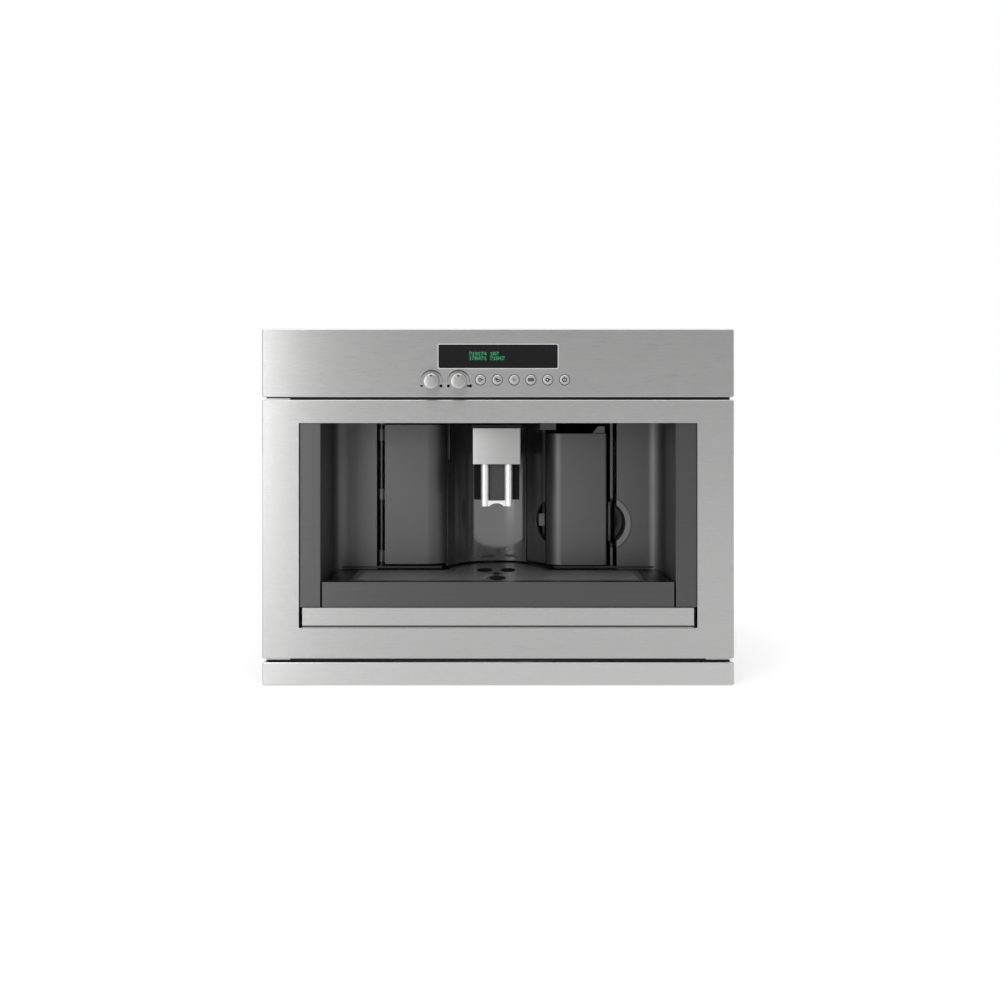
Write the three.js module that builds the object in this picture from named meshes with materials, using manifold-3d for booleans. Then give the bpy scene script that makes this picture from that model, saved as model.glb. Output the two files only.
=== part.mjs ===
// A built-in fully automatic coffee machine for a 560 mm wide kitchen niche, about 595 x 449 mm at the front.
// The machine hangs on two telescopic rails and pulls out of its cabinet. The service door carries the
// height-adjustable spout and swings open, the water tank and the drip tray pull forward, and the grid
// lifts off.
// Millimetres. X is to the right, Y goes back into the cabinet and Z is up.
// While the pieces are made, Y = 0 is the stainless front face and Z = 0 the lower edge of the front.
import * as THREE from "three";
import { mergeVertices } from "three/addons/utils/BufferGeometryUtils.js";
import Module from "manifold-3d";

const wasm = await Module();
wasm.setup();

// ------------------------------------------------------------------ driving dimensions

const fit = 0.3; // gap between pieces that seat on each other
const running = 0.5; // gap beside pieces that slide

// Stainless front: control fascia above, window frame in the middle, lower strip below.
const frontWidth = 595;
const lowerHeight = 29.2;
const lowerSeam = 4.4;
const frameHeight = 326.2;
const upperSeam = 3.2;
const fasciaHeight = 86;
const sheet = 1; // stainless sheet
const foldDepth = 10; // depth of the folded edges
const cornerRadius = 2.5;
const edgeRadius = 1.2;
const frameMargin = 46.4; // stainless beside the opening
const openingSill = 38.6; // from the lower edge of the window frame up to its opening
const openingHead = 29.3; // from the opening up to the frame's upper edge
const lugReach = 1.8; // hooks on the frame's folded edges, seen in the seams
const lugWidth = 30;
const lugInset = 5; // from the front's outer edge
const lugDepth = 6;
const lugSetback = 3.5;

// Black moulded carrier behind the stainless.
const carrierThickness = 20; // from the front face to the back of the carrier
const carrierInset = 3.5; // how far its edge stays inside the stainless
const carrierPlate = 9.7;
const carrierEdge = 3; // the same at its top and bottom
const padInset = 1; // pads behind the stainless, inside the carrier's outline
const restProud = 0.6; // strips on its back that close on the cabinet
const restInset = 0.5;

// Controls.
const displayWidth = 150;
const displayHeight = 29.4;
const displayLift = 51.5; // display centre above the lower edge of the fascia
const displayCorner = 1.5;
const windowFlange = 3;
const windowLedge = 2;
const moduleHalf = 52;
const moduleTall = 13;
const knobLift = 19.7;
const buttonLift = 21.9;
const controlHalfSpan = 83.7; // from the middle to the first knob and to the last button
const knobPitch = 34;
const knobRadius = 9.7;
const knobHeight = 12.5;
const knobEdge = 1.6; // rounding of its front edge
const knobShaftRadius = 3;
const dimpleRadius = 0.9;
const dimpleReach = 0.66; // of the knob's radius
const buttonPitch = 21.2;
const buttonRadius = 6.2;
const buttonProud = 1.4;
const buttonEdge = 0.9;
const buttonDish = 0.5;
const buttonFlange = 1.4; // rim behind the sheet that keeps the button in
const buttonRim = 1.2; // thickness of that flange
const stemRadius = 2;
const buttonTravel = 1.2;
const buttonCount = 6;
const cavityMargin = 22.3; // opening in the carrier beside the outer controls
const cavityRise = 8; // above the fascia's lower edge
const cavityDrop = 14; // below the fascia's upper edge
const boardInset = 5; // board in front of the carrier's back
const boardThickness = 1.6;
const encoderHalf = 6;
const encoderDepth = 7;
const switchHalf = 3;
const switchHeight = 4.5;

// Niche.
const bezelReveal = 26.2; // from the edge of the opening to the niche's side wall
const bezelSetback = 4;
const bezelSheet = 1.2;
const nicheDepth = 115; // from the front face to the back panels
const nicheCorner = 20;
const linerWall = 2.5;
const ceilingRise = 0.5; // ceiling above the opening
const roofReach = 85; // roof behind the back panels
const doorSetback = 113.5; // front of the service door and of the tank
const bayRadius = 72; // hollow bay behind the cups
const shoulderRadius = 30; // round shoulder that leads into the bay
const doorHead = 2.9; // door below the ceiling
const doorGap = 2.7; // door's flat part above the deck
const bayDrop = 4.7; // how far the bay reaches below the flat part
const doorWall = 3.5;
const doorEdgeAngle = 32; // degrees round the bay at which the door ends
const bayWallAngle = 36.2; // degrees at which the fixed wall takes over
const bayWallLean = 62; // degrees at which the fixed wall meets its side plate
const bayWallThickness = 3;
const hoodStep = 1.7; // how far the upper band of the bay stands in
const hoodHeight = 48;
const ribReach = 6.5; // door ribs behind its wall
const ribThickness = 3;
const ribGap = 24; // ribs short of the free edge, which swings past the fixed wall
const hingeX = -160;
const hingeSetback = 5; // pin behind the door's front face
const hingePinRadius = 1.8;
const knuckleRadius = 3.8;
const knuckleLength = 16;
const knuckleLower = 3; // from the door's lower edge to its lowest knuckle
const knuckleUpper = 22; // from the door's upper edge to the foot of its highest knuckle
const knuckleWeb = 2.2; // half the web that joins a knuckle to the door
const doorLeftGap = 4.8; // from the hinge pin to the door's left edge
const socketWall = 1; // round the ends of the pin
const leftPanelGap = 6; // from the hinge pin to the left back panel
const rightPanelGap = 13.4; // from the tank to the right back panel
const gripRadius = 38.8;
const gripReach = 20.6; // how far the finger grip runs into the right panel
const gripBevel = 9;
const gripDepth = 30;
const gripLift = 58.5; // grip centre above the chamber floor
const gripWindow = 28; // half the window in the tank's side wall behind the grip
const leftGripRadius = 43;
const leftGripReach = 10;
const leftGripDepth = 24;
const tankSideGap = 4.8; // side wall beside the tank
const tankSideWall = 3.2;
const tankBackGap = 8; // side walls run on behind the tank
const lampLeft = 57.4;
const lampWidth = 21.9;
const lampDepth = 22;
const lampHeight = 10;

// Decks that carry the moving pieces.
const shelfLift = 44; // tray shelf's top above the lower edge of the window frame
const trayHeight = 54; // drip tray from the shelf to its rim
const deckSheet = 2.5;
const deckFold = 12;
const deckGap = 2.2; // deck above the tray's rim
const deckLead = 0.5; // deck in front of the door's face
const deckBackSpace = 40; // deck to the back of the casing
const shelfBackSpace = 19; // shelf behind the tray
const bayClearance = 1.5; // deck's notch round the bay

// Drip tray and grid.
const trayStripHeight = 22.4;
const trayStripGap = 4.3; // beside the strip, up to the frame
const stripSetback = 0.6;
const stripDrop = 2.7; // strip below the tray's bottom
const trayFrontGap = 2.5; // beside the tray's front, up to the niche's walls
const trayFrontWall = 2.7;
const trayRimGap = 6.4; // beside the tray's rim
const trayRimThickness = 4;
const trayRimLedge = 2.6; // rim behind the grid
const trayWall = 2.2;
const basinShell = 1.5; // basin's wall beside the grid
const gridBorder = 28.5; // rim beside the grid
const gridFront = 18;
const gridBack = 110;
const gridSheet = 2;
const gridSeat = 3; // ledge that the grid rests on
const gridDrop = 0.5; // grid's top below the tray's rim
const gridLobeGap = 4; // round lobe of the grid inside the bay
const gridEdge = 6; // plain border of the grid
const gridHole = 9; // side of a square hole in the grid
const gridRows = 9;
const gridColumns = 20;
const gridPitch = 18;
const drainRadius = 9.5;
const smallDrainRadius = 4;
const drainRearY = 113;
const drainLeftX = -18.6;
const drainRightX = 13.8;
const drainFrontX = -1;
const drainFrontY = 42;
const smallDrainX = -1.9;
const smallDrainY = 80;

// Coffee spout.
const spoutX = -2;
const spoutWidth = 64;
const spoutDepth = 50;
const spoutHeight = 48;
const spoutSetback = 62;
const spoutHead = 4.4; // top of the cover below the door's upper edge
const coverSheet = 1.2;
const coverCorner = 1.5;
const ductDrop = 20; // duct's axis below the top of the cover
const ductRadius = 5;
const ductHole = 7;
const bracketHalf = 21;
const bracketTop = 5; // duct's upper and lower sides below the top of the cover
const bracketBottom = 38;
const nozzleRadius = 5.1;
const nozzleBore = 3.3;
const nozzlePitch = 31.3;
const nozzleReach = 55.6; // below the cover
const nozzleInset = 1.5; // behind the cover's front wall
const webHeight = 7.2;
const webThickness = 5;
const archRadius = 13.5;
const archDrop = 9.5; // centre of the arch below the mouths
const carriageLift = 8; // carriage above the nozzles' mouths
const carriageCorner = 5;
const carriageRibs = 6;
const carriageRibPitch = 3.4;
const carriageRib = 1.2;
const spoutTravel = 30;

// Water tank.
const tankInBay = 5; // its left side stands this far inside the bay's radius
const tankWidth = 82.2;
const tankDepth = 140;
const tankHead = 23.5; // open top below the ceiling
const tankGap = 1.2; // above the deck
const tankWall = 2.5;
const tankShoulder = 28;
const coverWrap = 36; // how far the tank's front cover reaches back
const lidHeight = 8.5;
const lidPlate = 3.2;
const pullWidth = 17;
const pullSlope = 8;
const pullDepth = 12;
const pullRise = 9.5; // above the tank's front cover
const pullInset = 3;
const fillInset = 20; // filling hole inside the lid's sides
const fillLength = 46;
const fillBack = 16;
const fillCorner = 8;

// Casing behind the front.
const cabinetLap = 17.5; // front beside the inner face of the cabinet's wall
const railSpace = 16; // between the casing and the cabinet
const casingBack = 392;
const casingFloor = 36;
const casingDrop = 19; // top panel below the top of the front
const steel = 1;
const steelFold = 12;
const ventColumn = 120;
const ventHalf = 55;
const ventRows = 7;
const ventPitch = 15;
const ventHeight = 5;
const ventDrop = 50; // top of the vents below the top panel
const inletInset = 59; // mains inlet from the casing's left side
const inletLift = 30; // above the casing's floor
const inletFlange = 2.5;
const switchPitch = 45; // from the inlet to the mains switch
const rockerTilt = 7; // degrees, up at rest

// Telescopic rails, 45 mm high.
const railHeight = 45;
const railLength = 350;
const railFront = 32;
const railMiddleZ = 250;
const railSteel = 1.5;
const railPlay = 2.5;
const railStep = 2; // how much less each inner channel reaches

// Bean hopper, chute and their lids on top.
const hopperLeft = -10;
const hopperRight = 150;
const hopperFront = 150;
const hopperBack = 340;
const hopperDepth = 88;
const hopperWall = 2.5;
const funnelRise = 26; // rear end of the sloping floor above the hopper's bottom
const funnelSlope = 24; // its front end above the rear one
const throatRadius = 13;
const throatStep = 4;
const throatX = 110;
const throatY = 318;
const lidSheet = 3;
const lidCorner = 6;
const lidLap = 4;
const lidLipHalf = 12;
const lidLip = 5;
const barrelRadius = 2.6;
const barrelInset = 10;
const earWidth = 3;
const earPinRadius = 1.2;
const chuteX = -48;
const chuteY = 262;
const chuteWidth = 40;
const chuteLength = 56;
const chuteWall = 2;
const grindKnobX = 182;
const grindKnobY = 318;
const grindKnobRadius = 13;
const grindKnobHeight = 9;
const grindShaftRadius = 3;

// ------------------------------------------------------------------ places that follow from them

const over = 1; // how far cutting bodies overshoot
const frontHalf = frontWidth / 2;
const frameBottom = lowerHeight + lowerSeam;
const frameTop = frameBottom + frameHeight;
const fasciaBottom = frameTop + upperSeam;
const frontHeight = fasciaBottom + fasciaHeight;
const openingHalf = frontHalf - frameMargin;
const openingBottom = frameBottom + openingSill;
const openingTop = frameTop - openingHead;
const carrierHalf = frontHalf - carrierInset;
const knobZ = fasciaBottom + knobLift;
const buttonZ = fasciaBottom + buttonLift;
const displayZ = fasciaBottom + displayLift;
const nicheHalf = openingHalf - bezelReveal;
const nicheWallHalf = frontHalf - cabinetLap; // inner face of the cabinet's side wall
const casingHalf = nicheWallHalf - railSpace;
const casingTop = frontHeight - casingDrop;
const sideFront = carrierThickness + fit;
const shelfTop = frameBottom + shelfLift - deckSheet;
const trayBottom = shelfTop + fit;
const trayRim = trayBottom + trayHeight;
const deckBottom = trayRim + deckGap;
const deckTop = deckBottom + deckSheet;
const gridTop = trayRim - gridDrop;
const gridBottom = gridTop - gridSheet;
const gridLobe = bayRadius - gridLobeGap;
const trayRimHalf = nicheHalf - trayRimGap;
const trayFrontHalf = nicheHalf - trayFrontGap;
const trayStripHalf = openingHalf - trayStripGap;
const gridHalf = trayRimHalf - gridBorder;
const trayBack = doorSetback + gridLobe + trayRimLedge;
const ceiling = openingTop + ceilingRise;
const doorBottom = deckTop + doorGap;
const doorTop = ceiling - doorHead;
const bayBottom = doorBottom - bayDrop;
const hoodBottom = doorTop - hoodHeight;
const hingeY = doorSetback + hingeSetback;
const gripZ = deckTop + gripLift;
const spoutTop = doorTop - spoutHead;
const spoutBottom = spoutTop - spoutHeight;
const ductZ = spoutTop - ductDrop;
const nozzleBottom = spoutBottom - nozzleReach;
const tankLeft = bayRadius - tankInBay;
const tankBottom = deckTop + tankGap;
const tankTop = ceiling - tankHead;
const tankRight = tankLeft + tankWidth;
const tankBack = doorSetback + tankDepth;
const leftPanelEdge = hingeX - leftPanelGap;
const rightPanelEdge = tankRight + rightPanelGap;
const inletX = inletInset - casingHalf;
const inletZ = casingFloor + inletLift;
const switchX = inletX + switchPitch;
const rearFace = casingBack + fit;
const knobFront = -2 * fit - knobHeight;
// The origin is under the middle of the whole part.
const depthOffset = -(knobFront + rearFace + inletFlange) / 2;

// ------------------------------------------------------------------ materials

function finish(color, roughness, metalness) {
  return new THREE.MeshStandardMaterial({ color, roughness, metalness });
}
const stainless = finish(0xb4b3b1, 0.35, 1);
const polished = finish(0xdcdcdc, 0.12, 1);
const galvanised = finish(0x9a9c9e, 0.5, 0.9);
const anthracite = finish(0x5a5a5b, 0.45, 0.2);
const satinBlack = finish(0x1d1d1e, 0.5, 0);
const glossBlack = finish(0x0d0d0e, 0.12, 0);
const darkGrey = finish(0x4c4c4d, 0.5, 0);
const smoke = finish(0x3a3d40, 0.15, 0);
const circuitGreen = finish(0x1f5a3a, 0.6, 0);
const aluminium = finish(0xb9bbbd, 0.4, 0.9);
const buttonSilver = finish(0xc4c4c2, 0.35, 0.7);

// ------------------------------------------------------------------ making solids

function solidOf(geometry) {
  const bare = geometry.index ? geometry.toNonIndexed() : geometry.clone();
  bare.deleteAttribute("normal");
  bare.deleteAttribute("uv");
  const merged = mergeVertices(bare, 1e-4);
  const mesh = new wasm.Mesh({
    numProp: 3,
    vertProperties: merged.attributes.position.array,
    triVerts: new Uint32Array(merged.index.array),
  });
  return new wasm.Manifold(mesh);
}

function geometryOf(solid) {
  const { vertProperties, triVerts } = solid.getMesh();
  const geometry = new THREE.BufferGeometry();
  geometry.setAttribute("position", new THREE.BufferAttribute(new Float32Array(vertProperties), 3));
  geometry.setIndex(new THREE.BufferAttribute(new Uint32Array(triVerts), 1));
  geometry.computeVertexNormals();
  return geometry;
}

const join = (first, ...rest) => rest.reduce((all, next) => all.add(next), first);
const cut = (first, ...rest) => rest.reduce((all, next) => all.subtract(next), first);

function box(x0, x1, y0, y1, z0, z1) {
  const geometry = new THREE.BoxGeometry(x1 - x0, y1 - y0, z1 - z0);
  return solidOf(geometry.translate((x0 + x1) / 2, (y0 + y1) / 2, (z0 + z1) / 2));
}

// A rectangle with round corners, as a shape or, for a hole, as a path.
function rectangle(a0, a1, b0, b1, radius = 0, Kind = THREE.Shape) {
  const outline = new Kind();
  if (radius <= 0) {
    outline.moveTo(a0, b0).lineTo(a1, b0).lineTo(a1, b1).lineTo(a0, b1).lineTo(a0, b0);
    return outline;
  }
  const quarter = Math.PI / 2;
  outline.moveTo(a0 + radius, b0);
  outline.lineTo(a1 - radius, b0).absarc(a1 - radius, b0 + radius, radius, -quarter, 0);
  outline.lineTo(a1, b1 - radius).absarc(a1 - radius, b1 - radius, radius, 0, quarter);
  outline.lineTo(a0 + radius, b1).absarc(a0 + radius, b1 - radius, radius, quarter, 2 * quarter);
  outline.lineTo(a0, b0 + radius).absarc(a0 + radius, b0 + radius, radius, 2 * quarter, 3 * quarter);
  return outline;
}

function extruded(shape, depth, segments, bevel) {
  return new THREE.ExtrudeGeometry(shape, {
    depth: depth - 2 * bevel,
    curveSegments: segments,
    bevelEnabled: bevel > 0,
    bevelThickness: bevel,
    bevelSize: bevel,
    bevelOffset: -bevel,
    bevelSegments: 2,
  }).translate(0, 0, bevel);
}

// An outline seen from above (X, Y), standing from z0 to z1.
const upright = (shape, z0, z1, segments = 8) =>
  solidOf(extruded(shape, z1 - z0, segments, 0).translate(0, 0, z0));

// An outline seen from the front (X, Z), running back from y0 to y1.
function facing(shape, y0, y1, segments = 3, bevel = 0) {
  return solidOf(extruded(shape, y1 - y0, segments, bevel).rotateX(Math.PI / 2).translate(0, y1, 0));
}

// An outline seen from the side (Y, Z), running from x0 to x1.
function sideways(shape, x0, x1, segments = 6) {
  const turn = new THREE.Matrix4().makeBasis(
    new THREE.Vector3(0, 1, 0),
    new THREE.Vector3(0, 0, 1),
    new THREE.Vector3(1, 0, 0),
  );
  return solidOf(extruded(shape, x1 - x0, segments, 0).applyMatrix4(turn).translate(x0, 0, 0));
}

function rod(radius, length, sides, farRadius = radius) {
  return new THREE.CylinderGeometry(farRadius, radius, length, sides);
}

const rodZ = (x, y, radius, z0, z1, sides = 20) =>
  solidOf(rod(radius, z1 - z0, sides).rotateX(Math.PI / 2).translate(x, y, (z0 + z1) / 2));
const rodY = (x, z, radius, y0, y1, sides = 20, farRadius = radius) =>
  solidOf(rod(radius, y1 - y0, sides, farRadius).translate(x, (y0 + y1) / 2, z));
const rodX = (y, z, radius, x0, x1, sides = 20) =>
  solidOf(rod(radius, x1 - x0, sides).rotateZ(Math.PI / 2).translate((x0 + x1) / 2, y, z));

// A profile of [radius, y] points turned about an axis along Y through (x, z).
function turned(profile, x, z, sides = 32) {
  const points = profile.map(([r, y]) => new THREE.Vector2(r, y));
  return solidOf(new THREE.LatheGeometry(points, sides).translate(x, 0, z));
}

function polygon(points) {
  const shape = new THREE.Shape();
  points.forEach(([a, b], i) => (i ? shape.lineTo(a, b) : shape.moveTo(a, b)));
  return shape.closePath();
}

const circle = (x, y, radius, Kind = THREE.Path) => new Kind().absarc(x, y, radius, 0, 2 * Math.PI);

// ------------------------------------------------------------------ the model and its nodes

const machine = new THREE.Group();
machine.position.y = depthOffset;

function piece(name, solid, material) {
  const mesh = new THREE.Mesh(geometryOf(solid), material);
  mesh.name = name;
  machine.add(mesh);
}

// ------------------------------------------------------------------ stainless front

// A folded sheet-metal pan: a face with its edges folded back, and round front edges.
function pan(z0, z1) {
  const face = rectangle(-frontHalf, frontHalf, z0, z1, cornerRadius);
  const block = facing(face, 0, 2 * foldDepth, 3, edgeRadius);
  const hollow = box(-frontHalf + sheet, frontHalf - sheet, sheet, 3 * foldDepth, z0 + sheet, z1 - sheet);
  const behind = box(-frontWidth, frontWidth, foldDepth, 3 * foldDepth, z0 - over, z1 + over);
  return cut(block, hollow, behind);
}

const knobPlaces = [-controlHalfSpan, -controlHalfSpan + knobPitch];
const buttonPlaces = Array.from(
  { length: buttonCount },
  (_, i) => controlHalfSpan - (buttonCount - 1 - i) * buttonPitch,
);
const controlSides = 16; // sides of the round buttons and their holes

function controlFascia() {
  const display = rectangle(
    -displayWidth / 2 - fit, displayWidth / 2 + fit,
    displayZ - displayHeight / 2 - fit, displayZ + displayHeight / 2 + fit, displayCorner + fit,
  );
  const holes = [
    facing(display, -over, foldDepth),
    ...knobPlaces.map((x) => rodY(x, knobZ, knobShaftRadius + running, -over, foldDepth, 12)),
    ...buttonPlaces.map((x) => rodY(x, buttonZ, buttonRadius + fit, -over, foldDepth, controlSides)),
  ];
  return cut(pan(fasciaBottom, frontHeight), ...holes);
}

// A hook on the frame's folded edge, by which it hangs on the carrier.
function lug(side, edge, direction) {
  const outer = frontHalf - lugInset;
  const [x0, x1] = side > 0 ? [outer - lugWidth, outer] : [-outer, lugWidth - outer];
  const [z0, z1] = direction > 0 ? [edge - sheet / 2, edge + lugReach] : [edge - lugReach, edge + sheet / 2];
  return box(x0, x1, lugSetback, lugSetback + lugDepth, z0, z1);
}

function frontFrame() {
  const opening = rectangle(-openingHalf, openingHalf, openingBottom, openingTop, sheet);
  const collar = rectangle(
    -openingHalf - sheet, openingHalf + sheet, openingBottom - sheet, openingTop + sheet, 2 * sheet,
  );
  const lugs = [lug(-1, frameTop, 1), lug(-1, frameBottom, -1), lug(1, frameBottom, -1)];
  return cut(
    join(pan(frameBottom, frameTop), facing(collar, sheet / 2, foldDepth), ...lugs),
    facing(opening, -over, foldDepth + over),
  );
}

piece("control_fascia", controlFascia(), stainless);
piece("front_frame", frontFrame(), stainless);
piece("lower_fascia", pan(0, lowerHeight), stainless);

// ------------------------------------------------------------------ carrier behind the stainless

const cavityHalf = controlHalfSpan + cavityMargin;
const cavityBottom = fasciaBottom + cavityRise;
const cavityTop = frontHeight - cavityDrop;
const carrierFace = sheet + fit;

// A moulded plate with pads behind the three stainless pans, and strips that rest on the cabinet's
// front edges.
function frontCarrier() {
  const half = carrierHalf - padInset;
  const top = frontHeight - carrierEdge;
  const plateFace = carrierThickness - carrierPlate;
  const plate = rectangle(-carrierHalf, carrierHalf, carrierEdge, top, 2 * padInset);
  const pads = [
    [carrierEdge, lowerHeight - carrierFace],
    [frameBottom + carrierFace, frameTop - carrierFace],
    [fasciaBottom + carrierFace, top],
  ];
  const strip = [nicheWallHalf + padInset, carrierHalf - restInset];
  const rests = [strip, strip.map((x) => -x).reverse()].map(([x0, x1]) =>
    box(x0, x1, carrierThickness - over, carrierThickness + restProud, 2 * carrierEdge, top - carrierEdge));
  const block = join(
    facing(plate, plateFace, carrierThickness),
    ...pads.map(([z0, z1]) => box(-half, half, carrierFace, plateFace + over, z0, z1)),
    ...rests,
  );
  const nicheHole = box(
    -openingHalf - carrierFace, openingHalf + carrierFace, 0, carrierThickness + over,
    openingBottom - carrierFace, openingTop + carrierFace,
  );
  const cavity = box(-cavityHalf, cavityHalf, 0, carrierThickness + over, cavityBottom, cavityTop);
  return cut(block, nicheHole, cavity);
}

piece("front_carrier", frontCarrier(), satinBlack);

// ------------------------------------------------------------------ display, knobs and buttons

const windowBack = sheet + fit + windowLedge;
const boardFront = carrierThickness - boardInset;
const stemEnd = boardFront - switchHeight - buttonTravel - fit;

function displayWindow() {
  const half = displayWidth / 2;
  const tall = displayHeight / 2;
  const pane = rectangle(-half, half, displayZ - tall, displayZ + tall, displayCorner);
  const flange = rectangle(
    -half - windowFlange, half + windowFlange, displayZ - tall - windowFlange, displayZ + tall + windowFlange,
    displayCorner,
  );
  return join(facing(pane, fit, windowBack), facing(flange, sheet + fit, windowBack));
}

// The control board with a rotary encoder behind each knob and a switch behind each button.
function controlBoard() {
  const edge = cavityHalf - fit;
  const rear = boardFront + boardThickness;
  const board = box(-edge, edge, boardFront, rear, cavityBottom + fit, cavityTop - fit);
  const block = (x, z, half, depth) =>
    box(x - half, x + half, boardFront - depth, boardFront + boardThickness / 2, z - half, z + half);
  const encoders = knobPlaces.map((x) => block(x, knobZ, encoderHalf, encoderDepth));
  const boreFront = boardFront - encoderDepth - over;
  const bores = knobPlaces.map((x) =>
    rodY(x, knobZ, knobShaftRadius + fit, boreFront, boardFront - boardThickness / 2, 12));
  const switches = buttonPlaces.map((x) => block(x, buttonZ, switchHalf, switchHeight));
  return cut(join(board, ...encoders, ...switches), ...bores);
}

// A knob turned from solid, with a dimple that shows where it points.
function knob(x) {
  const rear = -2 * fit;
  const shaftEnd = boardFront - boardThickness;
  const shoulder = knobEdge / 3;
  const body = turned([
    [0, knobFront], [knobRadius - knobEdge, knobFront + fit], [knobRadius - shoulder, knobFront + shoulder],
    [knobRadius, knobFront + knobEdge], [knobRadius, rear], [knobShaftRadius, rear],
    [knobShaftRadius, shaftEnd], [0, shaftEnd],
  ], x, knobZ, 24);
  const dimpleZ = knobZ + dimpleReach * knobRadius;
  return cut(body, rodY(x, dimpleZ, dimpleRadius, knobFront - over, knobFront + dimpleRadius, 8));
}

// A push button with a dished face, a flange that stops it behind the sheet, and a stem to its switch.
function pushButton(x) {
  const rim = -buttonProud;
  const stop = sheet + fit;
  return turned([
    [0, rim + buttonDish], [buttonRadius - buttonEdge, rim],
    [buttonRadius, rim + buttonDish], [buttonRadius, stop],
    [buttonRadius + buttonFlange, stop], [stemRadius, stop + buttonRim],
    [stemRadius, stemEnd], [0, stemEnd],
  ], x, buttonZ, controlSides);
}

piece("display_window", displayWindow(), glossBlack);
piece("display_module", box(
  -moduleHalf, moduleHalf, windowBack + fit, boardFront - fit, displayZ - moduleTall, displayZ + moduleTall,
), smoke);
piece("control_board", controlBoard(), circuitGreen);
piece("quantity_knob", knob(knobPlaces[0]), stainless);
piece("strength_knob", knob(knobPlaces[1]), stainless);
buttonPlaces.forEach((x, i) => piece("button_" + (i + 1), pushButton(x), buttonSilver));

// ------------------------------------------------------------------ niche

const bezelBottom = trayBottom + trayStripHeight;
const linerFront = bezelSetback + bezelSheet + fit;

function bezelStrip(side) {
  const edges = [nicheHalf * side, (openingHalf - fit) * side];
  return box(
    Math.min(...edges), Math.max(...edges), bezelSetback, bezelSetback + bezelSheet,
    bezelBottom, openingTop - fit,
  );
}

// One side of the niche seen from above: front flange, side wall, round corner and back panel.
function linerSide(side, panelEdge) {
  const shape = new THREE.Shape();
  const outer = openingHalf - fit;
  const bend = nicheDepth - nicheCorner;
  const x = (value) => value * side;
  const start = side > 0 ? 0 : Math.PI;
  const end = Math.PI / 2;
  shape.moveTo(x(outer), linerFront).lineTo(x(nicheHalf), linerFront).lineTo(x(nicheHalf), bend);
  shape.absarc(x(nicheHalf - nicheCorner), bend, nicheCorner, start, end, side < 0);
  shape.lineTo(panelEdge, nicheDepth).lineTo(panelEdge, nicheDepth + linerWall);
  shape.lineTo(x(nicheHalf - nicheCorner), nicheDepth + linerWall);
  shape.absarc(x(nicheHalf - nicheCorner), bend, nicheCorner + linerWall, end, start, side > 0);
  shape.lineTo(x(nicheHalf + linerWall), linerFront + linerWall).lineTo(x(outer), linerFront + linerWall);
  return shape.closePath();
}

// The cup-shaped pocket that the fingers reach into beside the tank, bevelled at its mouth.
const gripCentreX = rightPanelEdge + gripReach - gripRadius;
const gripBack = nicheDepth + gripDepth;

function gripCup() {
  const cup = rodY(gripCentreX, gripZ, gripRadius + linerWall, nicheDepth, gripBack, 28);
  const beside = box(
    gripCentreX - 2 * gripRadius, rightPanelEdge, 0, 2 * gripBack,
    gripZ - 2 * gripRadius, gripZ + 2 * gripRadius,
  );
  return cut(cup, beside);
}

function gripCavity() {
  const mouth = gripRadius - gripBevel;
  return join(
    rodY(gripCentreX, gripZ, gripRadius + over, nicheDepth - over, nicheDepth + gripBevel, 28, mouth),
    rodY(gripCentreX, gripZ, mouth, nicheDepth, gripBack - linerWall, 28),
  );
}

function nicheLiner() {
  const wallTop = ceiling + fit;
  const walls = [[-1, leftPanelEdge], [1, rightPanelEdge]].map(([side, edge]) =>
    upright(linerSide(side, edge), bezelBottom, wallTop));
  const half = nicheHalf + linerWall;
  const roof = box(-half, half, sideFront, nicheDepth + roofReach, ceiling, ceiling + linerWall);
  const tankWallX = tankRight + tankSideGap;
  const sideWall = box(
    tankWallX, tankWallX + tankSideWall, nicheDepth + linerWall + fit, tankBack + tankBackGap,
    deckTop + fit, wallTop,
  );
  const fingerWindow = box(
    tankWallX - over, tankWallX + tankSideWall + over, 0, gripBack, gripZ - gripWindow, gripZ + gripWindow,
  );
  const pinSocket = rodZ(hingeX, hingeY, knuckleRadius + socketWall, doorTop + fit, ceiling + linerWall, 12);
  // The back panels stop above the deck, so that the tray's rim passes below them.
  const way = trayRimHalf + running;
  const trayWay = box(-way, way, nicheDepth - nicheCorner, 2 * nicheDepth, 0, deckTop + fit);
  const collarWay = box(-frontHalf, frontHalf, 0, foldDepth + fit, openingTop - fit, frontHeight);
  return cut(
    join(...walls, roof, cut(sideWall, fingerWindow), pinSocket, gripCup()),
    trayWay,
    collarWay,
    gripCavity(),
    rodZ(hingeX, hingeY, hingePinRadius + fit, doorTop - over, ceiling + fit, 12),
  );
}

const degrees = (angle) => (angle * Math.PI) / 180;
const bayPoint = (radius, angle) => [
  radius * Math.sin(degrees(angle)), doorSetback + radius * Math.cos(degrees(angle)),
];

// The fixed wall between the bay and the tank, with a finger grip on its tank side.
function bayWall() {
  const [edgeX, edgeY] = bayPoint(bayRadius, bayWallLean);
  const band = (radius, z0) => {
    const shape = new THREE.Shape();
    const from = degrees(90 - bayWallAngle);
    const to = degrees(90 - bayWallLean);
    shape.absarc(0, doorSetback, radius, from, to, true);
    shape.absarc(0, doorSetback, bayRadius + bayWallThickness, to, from, false);
    return upright(shape.closePath(), z0, ceiling - fit, 10);
  };
  const sidePlate = box(
    edgeX - sheet / 2, tankLeft - running, edgeY, tankBack + tankBackGap, deckTop + fit, ceiling - fit,
  );
  const wall = join(band(bayRadius, deckTop + fit), band(bayRadius - hoodStep, hoodBottom), sidePlate);
  const gripX = edgeX + leftGripRadius - leftGripReach;
  return cut(wall, rodY(gripX, gripZ, leftGripRadius, edgeY - leftGripDepth, edgeY + leftGripDepth, 28));
}

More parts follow.
